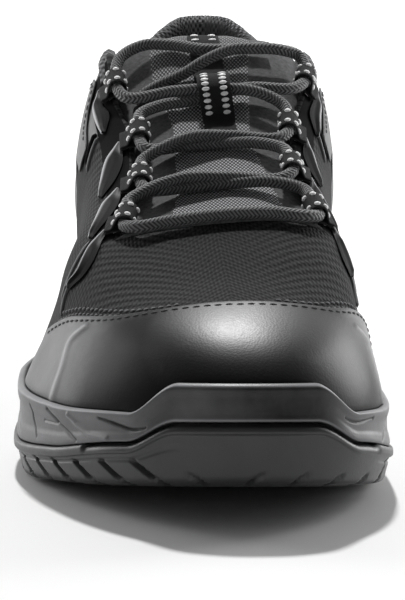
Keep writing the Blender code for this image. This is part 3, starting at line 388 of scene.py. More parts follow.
# Finishes
class Nodes:
    def __init__(self, name):
        self.look = bpy.data.materials.new(name)
        self.look.use_nodes = True
        self.tree = self.look.node_tree
        self.shader = self.tree.nodes["Principled BSDF"]

    def add(self, kind, **values):
        node = self.tree.nodes.new(kind)
        for key, value in values.items():
            setattr(node, key, value)
        return node

    def join(self, source, target):
        self.tree.links.new(source, target)

    def math(self, operation, a, b=0.0, clamp=False):
        node = self.add("ShaderNodeMath", operation=operation, use_clamp=clamp)
        for socket, value in zip(node.inputs, (a, b)):
            if isinstance(value, (int, float)):
                socket.default_value = value
            else:
                self.join(value, socket)
        return node.outputs[0]

    def plus(self, a, b, clamp=False):
        return self.math("ADD", a, b, clamp)

    def minus(self, a, b, clamp=False):
        return self.math("SUBTRACT", a, b, clamp)

    def times(self, a, b, clamp=False):
        return self.math("MULTIPLY", a, b, clamp)

    def uv(self):
        node = self.add("ShaderNodeUVMap", uv_map="UVMap")
        split = self.add("ShaderNodeSeparateXYZ")
        self.join(node.outputs[0], split.inputs[0])
        return split.outputs[0], split.outputs[1]

    def mark(self):
        return self.add("ShaderNodeAttribute", attribute_name="mark").outputs["Fac"]

    def noise(self, scale, detail=3.0, rough=0.55):
        place = self.add("ShaderNodeTexCoord")
        node = self.add("ShaderNodeTexNoise")
        node.inputs["Scale"].default_value = scale
        node.inputs["Detail"].default_value = detail
        node.inputs["Roughness"].default_value = rough
        self.join(place.outputs["Object"], node.inputs["Vector"])
        return node.outputs["Fac"]

    def marked(self, scale):  # soft noise, lifted where the mark is
        return self.plus(self.times(self.noise(scale, 4.0), 0.35), self.times(self.mark(), 0.6))

    def near(self, place, reach):  # 1 close to a place on the shoe, 0 past the reach
        here = self.add("ShaderNodeTexCoord")
        away = self.add("ShaderNodeVectorMath", operation="DISTANCE")
        self.join(here.outputs["Object"], away.inputs[0])
        away.inputs[1].default_value = place
        return self.minus(1.25, self.math("DIVIDE", away.outputs["Value"], reach), True)

    def cells(self, scale):
        place = self.add("ShaderNodeTexCoord")
        node = self.add("ShaderNodeTexVoronoi")
        node.inputs["Scale"].default_value = scale
        self.join(place.outputs["Object"], node.inputs["Vector"])
        return node.outputs["Distance"]

    def wave(self, value, pitch, shape="SINE", shift=0.0):
        return self.math(shape, self.plus(self.times(value, 2 * math.pi / pitch), shift))

    def ramp(self, value, low, high, lowColour, highColour):
        node = self.add("ShaderNodeValToRGB")
        node.color_ramp.elements[0].position, node.color_ramp.elements[1].position = low, high
        node.color_ramp.elements[0].color = (*lowColour, 1.0)
        node.color_ramp.elements[1].color = (*highColour, 1.0)
        self.join(value, node.inputs[0])
        return node.outputs[0]

    def span(self, value, low, high):  # value 0 to 1 turned to low to high
        return self.plus(self.times(value, high - low), low)

    def bump(self, height, depth, strength=1.0, onto=None):
        node = self.add("ShaderNodeBump")
        node.inputs["Distance"].default_value = depth
        node.inputs["Strength"].default_value = strength
        self.join(height, node.inputs["Height"])
        if onto is not None:
            self.join(onto, node.inputs["Normal"])
        return node.outputs[0]

    def finish(self, colour=None, roughness=None, normal=None, shine=None, **fixed):
        for name, value in fixed.items():
            self.shader.inputs[name].default_value = value
        sources = {"Base Color": colour, "Roughness": roughness, "Normal": normal,
                   "Specular IOR Level": shine}
        for socket, source in sources.items():
            if source is not None:
                self.join(source, self.shader.inputs[socket])
        return self.look


weaves = {"vampRows": 0.34, "vampDashes": 0.21, "vampColumns": 0.112, "lining": (0.25, 0.24),
          "tongue": (0.115, 0.19), "webbing": (0.07, 0.05)}  # pitches, in centimetres


def grey(value, cool=1.04):
    return (value, value, value * cool)


leather = {"polishAt": (0.018, -0.126, 0.051), "polishReach": 0.028}  # the most polished place of the cap


def leatherLook():
    n = Nodes("toeLeather")
    # colour lifted by the mark: painted light on the cap's sides and a painted highlight on its raised lines
    colour = n.ramp(n.marked(60.0), 0.2, 0.9, grey(0.007), grey(0.26))
    rough = n.span(n.noise(900.0, 2.0), 0.4, 0.47)
    grain = n.bump(n.cells(1500.0), 0.00006, 0.35)
    normal = n.bump(n.noise(260.0, 3.0), 0.00012, 0.15, grain)
    polish = n.span(n.near(leather["polishAt"], leather["polishReach"]), 0.07, 0.62)
    polish = n.plus(polish, n.times(n.mark(), 0.5))
    return n.finish(colour, rough, normal, polish)


def rubberLook(name, low, high, roughLow, roughHigh, shine=0.5):
    n = Nodes(name)
    colour = n.ramp(n.marked(45.0), 0.1, 0.9, grey(low), grey(high))
    rough = n.span(n.noise(500.0, 3.0), roughLow, roughHigh)
    normal = n.bump(n.noise(1400.0, 2.0), 0.00008, 0.4)
    return n.finish(colour, rough, normal, **{"Specular IOR Level": shine})


def vampLook():
    n = Nodes("ribbedVampCloth")
    u, v = n.uv()  # centimetres across from the ridge and along
    away = n.math("ABSOLUTE", u)
    sides = n.times(n.minus(away, 0.4), 0.7, True)
    wobble = n.times(n.noise(420.0, 1.0), 3.2)
    rows = n.wave(n.plus(v, n.times(away, 0.6)), weaves["vampRows"], shift=wobble)
    dashes = n.wave(n.minus(v, away), weaves["vampDashes"], shift=wobble)
    columns = n.wave(u, weaves["vampColumns"], shift=wobble)
    faded = n.minus(1.0, n.times(n.minus(away, 3.4), 1.2, True))
    slanted = n.times(n.times(rows, faded), n.span(sides, 0.15, 0.5))
    upright = n.times(n.plus(columns, n.times(dashes, 0.7)), n.span(sides, 0.5, 0.32))
    weave = n.span(n.plus(slanted, upright), 0.5, 1.0)
    colour = n.ramp(weave, 0.15, 0.95, grey(0.002), grey(0.034))
    normal = n.bump(weave, 0.0005, 0.9, n.bump(n.noise(700.0), 0.0001, 0.3))
    return n.finish(colour, None, normal, Roughness=0.85, **{"Specular IOR Level": 0.25})


def liningLook():
    n = Nodes("ribbedLining")
    across, along = [n.wave(way, pitch, "COSINE") for way, pitch in zip(n.uv(), weaves["lining"])]
    holes = n.span(n.times(across, along), 0.5, 1.0)
    colour = n.ramp(n.plus(holes, n.times(n.noise(400.0), 0.3)), 0.3, 1.0, grey(0.008), grey(0.2))
    normal = n.bump(holes, 0.0004, 0.7, n.bump(n.noise(1300.0), 0.0002, 0.5))
    return n.finish(colour, None, normal, Roughness=0.8)


def tongueLook():
    n = Nodes("tongueMesh")
    u, v = n.uv()
    across, along = [n.wave(way, pitch, "COSINE") for way, pitch in zip((u, v), weaves["tongue"])]
    shade = n.span(n.times(n.minus(v, 10.5), 0.2, True), 0.72, 1.0)  # painted shade: darker towards the top, where the laces shade the mesh
    knots = n.times(n.span(n.times(across, along), 0.5, 1.0), shade)
    colour = n.ramp(knots, 0.35, 0.9, grey(0.014), grey(0.62))
    return n.finish(colour, None, n.bump(knots, 0.0005, 0.8), Roughness=0.7)


def trimLook(name, low, high, roughLow, roughHigh, shine=0.5, markShine=0.5, start=0.1):
    n = Nodes(name)
    colour = n.ramp(n.marked(80.0), start, 0.9, grey(low), grey(high))
    rough = n.span(n.noise(800.0), roughLow, roughHigh)
    normal = n.bump(n.noise(900.0, 2.0), 0.00006, 0.35)
    return n.finish(colour, rough, normal, n.span(n.mark(), shine, markShine))


def webbingLook():
    n = Nodes("loopWebbing")
    across, along = [n.wave(way, pitch) for way, pitch in zip(n.uv(), weaves["webbing"])]
    weave = n.span(n.times(across, along), 0.5, 1.0)
    colour = n.ramp(weave, 0.1, 0.9, grey(0.006), grey(0.03))
    return n.finish(colour, None, n.bump(weave, 0.0002, 0.7), Roughness=0.75, **{"Specular IOR Level": 0.15})


def cordLook():
    n = Nodes("braidedCord")
    u, v = n.uv()
    turn, run = n.times(u, 10.0 / lace["radius"]), n.times(v, 20 * math.pi / lace["pitch"])
    lean = n.times(turn, lace["lean"])
    left, right = n.math("SINE", n.plus(run, lean)), n.math("SINE", n.minus(run, lean))
    share = n.plus(n.times(n.math("SINE", n.times(turn, lace["sectors"])), 2.0), 0.5, True)
    strand = n.plus(n.times(left, share), n.times(right, n.minus(1.0, share)))
    height = n.span(strand, 0.5, 1.0)
    colour = n.ramp(height, 0.2, 0.95, grey(0.025), grey(0.19))
    normal = n.bump(height, 0.0003, 0.8, n.bump(n.noise(1500.0), 0.0001, 0.3))
    return n.finish(colour, None, normal, Roughness=0.6, **{"Sheen Weight": 0.08})


def clothLook(name, low, high, scale):
    n = Nodes(name)
    colour = n.ramp(n.noise(scale, 4.0), 0.25, 0.8, grey(low), grey(high))
    return n.finish(colour, None, n.bump(n.noise(scale * 3), 0.0002, 0.5), Roughness=0.85)


def reflectiveLook():
    n = Nodes("reflectiveThread")
    colour = n.ramp(n.noise(700.0, 2.0), 0.3, 0.7, grey(0.85, 1.0), grey(0.95, 1.0))
    return n.finish(colour, None, n.bump(n.noise(1500.0), 0.0001, 0.4), Roughness=0.45)


looks = {
    "leather": leatherLook(),
    "rubber": rubberLook("treadRubber", 0.026, 0.09, 0.36, 0.5),
    "foam": rubberLook("midsoleFoam", 0.003, 0.38, 0.36, 0.48, 0.3),
    "vamp": vampLook(),
    "lining": liningLook(),
    "tongue": tongueLook(),
    "trim": trimLook("strapTrim", 0.008, 0.48, 0.5, 0.6, 0.04, 0.6, 0.26),
    # paler than the cloth round it: a painted highlight on the thin raised lines
    "piping": trimLook("pipingHighlight", 0.11, 0.2, 0.5, 0.6),
    "panel": clothLook("tonguePanel", 0.03, 0.12, 900.0),
    "counter": trimLook("counterTrim", 0.05, 0.14, 0.45, 0.55, 0.35),
    "eyestay": trimLook("eyestayTrim", 0.006, 0.016, 0.75, 0.85, 0.03),
    "webbing": webbingLook(),
    "cord": cordLook(),
    "thread": clothLook("seamThread", 0.03, 0.08, 900.0),
    "cornerThread": clothLook("cornerThread", 0.1, 0.2, 900.0),
    "footbed": clothLook("footbedCloth", 0.03, 0.06, 600.0),
    "reflective": reflectiveLook(),
}
print("finishes made:", len(looks))

# Stage: the photo's camera, a pale floor and soft light from above and behind
stage = {"elevation": 8.5, "distance": 1.2, "aim": 0.060, "focal": 3956.0, "aimRow": 231.4,
         "imageHeight": 600.0, "world": 0.12, "sun": 2.6, "sunAngle": 5.0, "sunTurn": (-33.0, -3.5, 0.0),
         "walls": [("backdrop", (0.0, 1.55, 1.1), 180.0, 5.4, 2.1, 36.0),
                   ("leftWall", (-0.9, 0.8, 0.4), -75.0, 1.2, 0.7, 10.0),
                   ("rightWall", (0.9, 0.8, 0.4), 75.0, 1.2, 0.7, 14.0)]}


def setStage():
    scene = bpy.context.scene
    camera = bpy.data.cameras.new("photoCamera")
    camera.sensor_fit, camera.sensor_height = "VERTICAL", 36.0
    camera.lens = stage["focal"] / stage["imageHeight"] * 36.0
    seen = bpy.data.objects.new("photoCamera", camera)
    elevation = math.radians(stage["elevation"])
    tilt = math.atan((stage["imageHeight"] / 2 - stage["aimRow"]) / stage["focal"])
    reach = stage["distance"]
    seen.location = (0.0, -reach * math.cos(elevation), stage["aim"] + reach * math.sin(elevation))
    seen.rotation_euler = (math.pi / 2 - elevation - tilt, 0.0, 0.0)
    scene.collection.objects.link(seen)
    scene.camera = seen
    scene.view_settings.view_transform = "Standard"
    scene.view_settings.look = "None"

    mesh = bpy.data.meshes.new("floor")
    mesh.from_pydata([(-9, -9, 0), (9, -9, 0), (9, 9, 0), (-9, 9, 0)], [], [(0, 1, 2, 3)])
    n = Nodes("paleFloor")
    pale = {"Base Color": (0.9, 0.9, 0.9, 1.0), "Roughness": 0.9, "Specular IOR Level": 0.1}
    mesh.materials.append(n.finish(**pale))
    floor = bpy.data.objects.new("floor", mesh)
    scene.collection.objects.link(floor)

    world = bpy.data.worlds.new("studio")
    world.use_nodes = True
    sky = world.node_tree.nodes["Background"]
    sky.inputs["Color"].default_value = (1.0, 1.0, 1.0, 1.0)
    sky.inputs["Strength"].default_value = stage["world"]
    scene.world = world
    sun = bpy.data.lights.new("key", "SUN")
    sun.energy, sun.angle = stage["sun"], math.radians(stage["sunAngle"])
    lamp = bpy.data.objects.new("key", sun)
    lamp.rotation_euler = [math.radians(angle) for angle in stage["sunTurn"]]
    scene.collection.objects.link(lamp)
    for name, place, turn, width, height, power in stage["walls"]:  # white walls, for the rims of the shoe
        wall = bpy.data.lights.new(name, "AREA")
        wall.shape, wall.size, wall.size_y, wall.energy = "RECTANGLE", width, height, power
        lamp = bpy.data.objects.new(name, wall)
        lamp.location, lamp.rotation_euler = place, (math.pi / 2, 0.0, math.radians(turn))
        scene.collection.objects.link(lamp)


setStage()
print("stage set")

# Lace loops: webbing folded round the lace on the throat's edge
loop = {"rows": {4: 204.0, 3: 179.0, 2: 153.0, 1: 124.0}, "outer": 3.0, "inner": 2.2, "half": 4.3,
        "setIn": 3.4, "lift": 2.2, "tail": 6.4, "thin": 0.38, "dash": 3.0}


def loopFrame(row, side):  # middle of a loop, along the throat, outwards, up
    along = loop["rows"][row]
    turn = turnOf(np.array([along - 2.0, along, along + 2.0]), side)
    back, edge, front = upperPoint(turn, 1.0)
    tunnel = unit(back - front)
    outer = upperPoint(turn[1], 0.96) - edge
    outer = unit(outer - tunnel * (outer @ tunnel))
    rise = np.cross(tunnel, outer)
    rise = rise if rise[2] > 0 else -rise
    return edge - outer * loop["setIn"] + rise * loop["lift"], tunnel, outer, rise


loopPlaces = {(row, side): loopFrame(row, side) for row in loop["rows"] for side in (-1, 1)}


def throughLoop(row, side, forward=False):
    middle, tunnel, _, _ = loopPlaces[row, side]
    steps = (-4.6, -1.5, 1.5, 4.6) if forward else (4.6, 1.5, -1.5, -4.6)
    return [middle + tunnel * s for s in steps]


def braidedTube(path):  # cord with slanted strands that change way round it, closed at both ends
    tangent = unit(np.gradient(path, axis=0))
    side = np.zeros_like(path)
    side[0] = unit(np.cross(tangent[0], (0.3, 0.2, 1.0)))
    for i in range(1, len(path)):
        side[i] = side[i - 1] - tangent[i] * (side[i - 1] @ tangent[i])
        side[i] /= np.linalg.norm(side[i])
    up = np.cross(tangent, side)
    s = runLength(path)[:, None]
    a = np.linspace(0.0, 2 * np.pi, lace["segments"] + 1)[None, :]
    wind = 2 * np.pi * s / lace["pitch"]
    radius = lace["radius"] * (1 + lace["relief"] * (np.sin(wind + 2.0 * a) - 0.2))
    across, rise = (np.cos(a) * radius)[..., None], (np.sin(a) * radius)[..., None]
    grid = path[:, None] + side[:, None] * across + up[:, None] * rise
    grid[:, -1] = grid[:, 0]
    uv = np.stack(np.broadcast_arrays(a * lace["radius"], s), -1)
    caps = [(np.stack([np.repeat(path[i][None], grid.shape[1], 0), grid[i]]), uv[:2]) for i in (0, -1)]
    return [(grid, uv)] + caps


def addLace():
    inside = 0.8
    chain = [loopPlaces[1, -1][0] + loopPlaces[1, -1][1] * inside] + throughLoop(1, -1)[2:]
    chain += list(overInstep(lace["upper"][1][::-1])) + throughLoop(2, 1)
    chain += list(overInstep(lace["middle"][0][::-1])) + throughLoop(3, -1)
    chain += list(overInstep(lace["lower"][1][::-1])) + throughLoop(4, 1)
    chain += list(overInstep(lace["bar"][::-1])) + throughLoop(4, -1, True)
    chain += list(overInstep(lace["lower"][0])) + throughLoop(3, 1, True)
    chain += list(overInstep(lace["middle"][1])) + throughLoop(2, -1, True)
    chain += list(overInstep(lace["upper"][0])) + throughLoop(1, 1, True)[:2]
    chain += [loopPlaces[1, 1][0] + loopPlaces[1, 1][1] * inside]
    reach = runLength(np.array(chain))[-1]
    path = through(chain, int(reach / lace["ring"]))
    nodes = ["lace_bar", "lace_crossing_lower", "lace_crossing_middle", "lace_crossing_upper"]
    bodyPiece("laceRuns", braidedTube(path), looks["cord"], nodes)
    for side, label in ((-1, "lateral"), (1, "medial")):
        middle, tunnel, _, _ = loopPlaces[1, side]
        inLoop = [middle + tunnel, middle + tunnel * loop["half"]]
        points = np.concatenate([inLoop, overInstep(lace[label + "End"])])
        reach = runLength(points)[-1]
        path = through(points, int(reach / lace["ring"]))
        free = bodyPiece(label + "LaceEnd", braidedTube(path), looks["cord"], [f"lace_end_{label}"])


addLace()
print("lace run through the loops")

# Outsole: flat heel and forefoot, arch, toe spring, side lip and slanted lug slots
outsole = {"columns": 600, "inset": 4.5, "round": 2.4, "lip": 2.6, "rim": 3.4, "core": 6.5, "pitch": 13.3,
           "slotDepth": 3.2, "slotSide": 1.9, "slotHeight": 7.0, "slant": 1.4, "bottomReach": 0.55,
           "heelFree": 4.0, "archFree": (92.0, 150.0), "toeFree": (0.93, 1.2), "chevronPitch": 11.0,
           "chevronDepth": 1.6, "groove": 0.6, "grooveWidth": 0.45, "notch": (0.801, 1.19), "nickHeight": 3.6,
           "spineEnds": (34.0, 256.0), "acrossSteps": 31}
lipRows = [  # outset, drop below the sole's line, and how far it is set back in front
    (-0.35, 2.85, 0.1), (0.0, 2.45, 0.3), (0.06, 1.9, 0.5), (0.05, 1.4, 0.7), (0.0, 0.9, 1.2),
    (-0.15, 0.45, 1.9), (-0.5, 0.1, 2.0), (-1.1, 0.0, 1.6), (-3.4, 0.0, 0.0)]


def turnsRound(count):
    return np.arange(2 * count + 1) / count


def soleLine(turn):
    return at(heightTable, "line", alongOf(turn)) + 5.5 * bumperShare(turn)


edgeTurns = np.linspace(0.0, 2.0, 1601)
edgeRuns = runLength(edgeLine(edgeTurns))


def edgeRun(turn):  # distance along the sole's edge
    return np.interp(turn, edgeTurns, edgeRuns)


def slotPlaces():  # turns of the side slots and of the small nicks in front
    count = int(edgeRuns[-1] / outsole["pitch"])
    places = np.interp((np.arange(count) + 0.92) * edgeRuns[-1] / count, edgeRuns, edgeTurns)
    along = alongOf(places)
    (archStart, archEnd), (toeStart, toeEnd) = outsole["archFree"], outsole["toeFree"]
    free = (along < outsole["heelFree"]) | ((along > archStart) & (along < archEnd))
    front = (places > toeStart) & (places < toeEnd)
    return places[~free & ~front], places[front]


def acrossRings(ring, steps):  # grid from the lateral half of a ring to its medial half
    size = (len(ring) - 1) // 2
    share = np.linspace(0.0, 1.0, steps)[None, :, None]
    lateral, medial = ring[: size + 1, None], ring[size:][::-1][:, None]
    return lateral + (medial - lateral) * share


def addOutsole():
    turn = turnsRound(outsole["columns"])
    along = alongOf(turn)
    tread, line = at(heightTable, "tread", along), soleLine(turn)
    core = np.minimum(tread + outsole["core"], line - 1.0)
    run, (slots, nicks) = edgeRun(turn), slotPlaces()

    def slotShare(places, height):  # 1 in the middle of a slot, which leans to the heel as it rises
        lean = outsole["slant"] * np.broadcast_to(height, turn.shape)[:, None]
        away = np.abs(run[:, None] - edgeRun(places)[None] - sideOf(places)[None] * lean)
        return 1 - ease(0.55, 1.35, away.min(1))

    rows = []

    def addRow(outset, height, sideCut, bottomCut):
        cut, up = slotShare(slots, height - tread), height - tread
        nick = slotShare(nicks, up) * (1 - ease(outsole["nickHeight"] - 1.4, outsole["nickHeight"], up))
        outset = outset - cut * sideCut - nick * 0.9
        rows.append(soleRing(turn, outset, height + (cut + 0.4 * nick) * bottomCut))

    spineAlong = np.clip(along, *outsole["spineEnds"])
    spine = np.stack([at(planTable, "spine", spineAlong), length / 2 - spineAlong], -1)
    edge = soleRing(turn, -outsole["inset"], tread)
    for share in np.linspace(outsole["bottomReach"], 0.0, 13)[:-1]:
        plan = edge[:, :2] + (spine - edge[:, :2]) * share
        place = length / 2 - plan[:, 1]
        cut = slotShare(slots, np.zeros_like(tread)) * (1 - ease(0.44, 0.52, share)) * outsole["slotDepth"]
        rows.append(np.column_stack([plan, at(heightTable, "tread", place) + cut]))
    inset, radius = outsole["inset"], outsole["round"]
    for angle in np.linspace(0.0, np.pi / 2, 5):  # rounded lower edge
        share, up = math.sin(angle), 1 - math.cos(angle)
        addRow(-inset + radius * share, tread + radius * up, outsole["slotSide"] * (0.3 + 0.7 * up),
               outsole["slotDepth"] * (1 - share) ** 0.5)
    for share in np.linspace(0.0, 1.0, 17)[1:]:
        height = tread + radius + (line - outsole["lip"] - 0.4 - tread - radius) * share
        fade = 1 - ease(outsole["slotHeight"] - 0.8, outsole["slotHeight"] + 0.4, height - tread)
        beside = 1 - ease(0.9, 0.94, turn) * (1 - ease(1.19, 1.23, turn))
        away = height - tread - outsole["groove"] * (line - tread)
        groove = outsole["grooveWidth"] * beside * bell(away, outsole["grooveWidth"])
        outset = -inset + radius + (inset - radius - 0.9) * share - groove
        addRow(outset, height, outsole["slotSide"] * fade, 0.0)
    start, end = outsole["notch"]
    front = ease(start - 0.003, start, turn) * (1 - ease(end, end + 0.012, turn))
    for outset, drop, back in lipRows:
        rows.append(soleRing(turn, outset - back * front, line - drop - 0.3 * front * (drop < 0.8)))
    rows.append(soleRing(turn, -outsole["rim"] - 0.6, core))
    grid = np.stack(rows)
    bottom = acrossRings(rows[0], outsole["acrossSteps"])
    place = length / 2 - bottom[..., 1]
    sideways = np.abs(bottom[..., 0] - at(planTable, "spine", place))
    phase = np.mod(place + 0.45 * sideways, outsole["chevronPitch"]) - outsole["chevronPitch"] / 2
    share = np.linspace(0.0, 1.0, outsole["acrossSteps"])[None]
    mask = ease(0.0, 0.08, share) * ease(0.0, 0.08, 1 - share)  # no chevrons at the edges, heel, toe and arch
    mask = mask * ease(20.0, 26.0, place) * (1 - ease(262.0, 270.0, place))
    mask = mask * (1 - ease(88.0, 94.0, place) * (1 - ease(148.0, 154.0, place)))
    bottom[..., 2] += outsole["chevronDepth"] * mask * (1 - ease(0.9, 1.7, np.abs(phase)))
    top = acrossRings(rows[-1], 13)
    patches = [patch(grid), flatPatch(bottom), flatPatch(top)]
    bodyPiece("outsoleTread", patches, looks["rubber"], ["outsole"])


addOutsole()
print("outsole made")

# Midsole: waisted foam wall with a smooth toe bumper and moulded side lines
midsole = {"rows": 40, "bumperRise": 8.6, "floorSteps": 15,
           "turns": [(0.0, 0.64, 150), (0.64, 0.92, 330), (0.92, 1.0, 60)]}  # closer columns by the toe
wallTable = tableOf("share side bumper", [  # outset at shares of the wall's height
    (0, -1.1, -1.2), (0.05, -0.9, -0.8), (0.22, -1.2, -0.95), (0.38, -1.7, -1.0), (0.62, -1.8, -1.0),
    (0.84, -1.2, -0.85), (0.93, -1.2, -1.15), (0.97, -1.6, -1.7), (1.0, -2.5, -2.6)])
wallLines = [  # places (turn, share of the wall's height), depth and half width of each moulded line
    ([(0.7, 0.8), (0.705, 0.5), (0.716, 0.16)], 0.5, 0.38),
    ([(0.735, 0.86), (0.756, 0.54), (0.786, 0.1)], 0.6, 0.4),
    ([(0.728, 0.56), (0.752, 0.55)], 0.3, 0.34),
    ([(0.772, 0.8), (0.784, 0.56), (0.805, 0.26), (0.83, 0.1)], -0.5, 0.7),
    ([(0.817, 0.77), (0.841, 0.57), (0.881, 0.2)], 0.6, 0.4),
    ([(1.131, 0.54), (1.16, 0.66), (1.189, 0.77)], 0.5, 0.42),
    ([(1.3, 0.8), (1.295, 0.5), (1.284, 0.16)], 0.5, 0.38),
    ([(1.265, 0.86), (1.244, 0.54), (1.214, 0.1)], 0.6, 0.4)]
for start in np.linspace(0.12, 0.64, 9):  # a slanted line after another down both sides
    places = [(start, 0.86), (start + 0.012, 0.56), (start + 0.03, 0.16)]
    wallLines.append((places, 0.5, 0.45))
    wallLines.append(([(2 - turn, share) for turn, share in places], 0.5, 0.45))


def lineDistance(x, y, line):  # of places from a line of straight runs
    best = np.full(np.broadcast_shapes(x.shape, y.shape), 99.0)
    for (ax, ay), (bx, by) in zip(line[:-1], line[1:]):
        runX, runY = bx - ax, by - ay
        share = np.clip(((x - ax) * runX + (y - ay) * runY) / (runX**2 + runY**2), 0.0, 1.0)
        best = np.minimum(best, np.hypot(x - ax - share * runX, y - ay - share * runY))
    return best


def rimHeight(turn):
    return at(heightTable, "feather", alongOf(turn)) + midsole["bumperRise"] * bumperShare(turn)


def addMidsole():
    half = np.concatenate([[0.0]] + [np.linspace(*stretch)[1:] for stretch in midsole["turns"]])
    turn = np.concatenate([half, 2 - half[::-1][1:]])
    along = alongOf(turn)
    line, rim, floor = soleLine(turn), rimHeight(turn), at(heightTable, "floor", along)
    core = np.minimum(at(heightTable, "tread", along) + outsole["core"], line - 1.0)
    under = [(-4.3, core + 0.3), (-3.7, line + 0.3), (-1.6, line + 0.3)]
    inside = [(-3.1, rim - 0.1), (-4.1, rim - 0.4), (-4.3, rim - 1.8), (-4.6, rim - 2.2), (-4.6, floor)]
    rows = [soleRing(turn, outset, height) for outset, height in under]
    shares, wall = np.linspace(0.0, 1.0, midsole["rows"])[:, None], rim - line - 0.3
    bumper, run = bumperShare(turn), edgeRun(turn)
    carve = 0.0
    for places, depth, width in wallLines:
        spots = [(float(edgeRun(t)), share * float(np.interp(t, turn, wall))) for t, share in places]
        carve = carve + depth * bell(lineDistance(run[None], shares * wall, spots), width)
    for share, cut in zip(shares[:, 0], carve):
        outset = at(wallTable, "side", share) * (1 - bumper) + at(wallTable, "bumper", share) * bumper
        rows.append(soleRing(turn, outset - cut, line + 0.3 + wall * share))
    rows += [soleRing(turn, outset, height) for outset, height in inside]
    grid = np.stack(rows)
    light = np.zeros(grid.shape[:2])
    shown = light[len(under):-len(inside)]  # paler rim and sides, dark in the moulded lines: painted highlights on the rim, the bumper's lower edge and the raised line, painted light on the sides, painted shade in the grooves
    shown += bell(shares - 0.96, 0.035) * (0.35 + 0.65 * bumper)
    shown += 0.3 * np.maximum(-carve, 0.0) + (0.32 - 0.7 * np.maximum(carve, 0.0)) * (1 - bumper)
    shown += 0.5 * bell(shares - 0.05, 0.03) * bumper
    floors = [acrossRings(ring, midsole["floorSteps"]) for ring in (rows[0], rows[-1])]
    patches = [patch(grid)] + [flatPatch(flat) for flat in floors]
    marks = [light] + [np.zeros(flat.shape[:2]) for flat in floors]
    bodyPiece("midsoleWall", patches, looks["foam"], ["midsole"], marks)


addMidsole()
print("midsole made")

# Footbed inside the shoe
footbed = {"columns": 200, "inset": 8.0, "thick": 4.5, "steps": 25}


def addFootbed():
    turn = turnsRound(footbed["columns"])
    floor, thick = at(heightTable, "floor", alongOf(turn)) + 0.3, footbed["thick"]
    edge = [(0.0, 0.0), (0.0, thick - 1.2), (0.35, thick - 0.4), (1.2, thick)]
    rows = [soleRing(turn, -footbed["inset"] - inwards, floor + height) for inwards, height in edge]
    top, low = acrossRings(rows[-1], footbed["steps"]), acrossRings(rows[0], footbed["steps"])
    share = np.linspace(-1.0, 1.0, footbed["steps"])[None]
    top[..., 2] -= 1.1 * (1 - share**2) * ease(0.0, 25.0, length / 2 - top[..., 1])
    grid = np.stack(rows)
    patches = [patch(grid), flatPatch(top), flatPatch(low)]
    bodyPiece("footbedSheet", patches, looks["footbed"], ["insole"])


addFootbed()

# Upper: hollow cloth shell, open at the collar and the throat
upper = {"columns": 270, "vampColumn": 171, "wall": 2.4, "levels": 60, "ridgeLevels": 26, "stay": 0.8,
         "binding": 0.75}


def girthOf(turn):  # length up the side from the feather line to the edge
    levels = np.linspace(0.0, 1.0, 40)[:, None]
    points = upperPoint(np.asarray(turn)[None], levels)
    return np.linalg.norm(np.diff(points, axis=0), axis=-1).sum(0)


def clothUv(points, turn):  # distance from the ridge and along, continuous over the ridge
    along = length / 2 - points[..., 1]
    sideways = points[..., 0] - at(planTable, "spine", along)
    drop = np.maximum(at(lastTable, "ridge", along) - points[..., 2], 0.0)
    aroundHeel = edgeRun(np.where(turn > 1, 2 - turn, turn)) - alongOf(turn)
    heel = 1 - ease(50.0, 130.0, along)
    across = np.sign(sideways) * np.hypot(sideways * (1 - 0.9 * heel), drop)
    return np.stack([across, along + aroundHeel * heel], -1)


def addUpper():
    count, vamp = upper["columns"], upper["vampColumn"]
    turn = turnsRound(count)
    along = alongOf(turn)
    behind = 1 - ease(196.0, 212.0, along)
    level = np.linspace(0.0, 1.0, upper["levels"])[:, None] * (1 - behind * 1.2 / girthOf(turn))[None]
    base = np.concatenate([lastFrame(turn)[0], (at(heightTable, "floor", along) + 0.3)[:, None]], -1)
    outer = np.concatenate([base[None], upperPoint(turn, level)])
    normal = np.concatenate([upperNormal(turn, level)[:1], upperNormal(turn, level)])
    front = turn[vamp: 2 * count - vamp + 1]
    ridgeLevel = np.linspace(1.0, 2.0, upper["ridgeLevels"])[:, None]
    top, topNormal = upperPoint(front, ridgeLevel), upperNormal(front, np.minimum(ridgeLevel, 1.985))
    for grid in (top, topNormal):  # both halves meet on the ridge
        grid[-1] = (grid[-1] + grid[-1][::-1]) / 2 if grid is top else unit(grid[-1] + grid[-1][::-1])
    inner = [outer - normal * upper["wall"], top - topNormal * upper["wall"]]
    sheets = [(outer, clothUv(outer, turn)), (top, clothUv(top, front))]
    points, faces, uv, _ = rimmedSheet(sheets, inner)
    levels = np.concatenate([np.zeros((1, len(turn))), level])
    spots = np.stack([levels, np.broadcast_to(along, levels.shape)], -1)
    onRidge = np.zeros((*top.shape[:2], 2))
    corner = weld([(outer, spots), (top, onRidge)])[3].mean(1)  # level and along of each face
    stayLow = upper["stay"] - 0.1 * (1 - ease(150.0, 172.0, corner[:, 1]))
    stay = (corner[:, 0] > stayLow) & (corner[:, 1] > 108.0) & (corner[:, 1] < 211.0)
    side = (corner[:, 0] > 0.46) & (corner[:, 1] > 90.0) & (corner[:, 1] < 144.0 - 8.0 * corner[:, 0]) & ~stay
    panels = np.where(stay, 1, np.where(side, 2, 0))
    faceLooks = np.concatenate([panels, panels, np.zeros(len(faces) - 2 * len(panels), int)])
    finishes = [looks[name] for name in ("vamp", "eyestay", "counter")]
    addPiece("upperShell", points, faces, uv, finishes, ["upper"], faceLooks)
    edge = np.concatenate([top[:, 0], top[::-1, -1][1:]])
    facing = np.concatenate([topNormal[:, 0], topNormal[::-1, -1][1:]])
    addTube("vampBinding", edge + facing * 0.1, upper["binding"], looks["panel"])


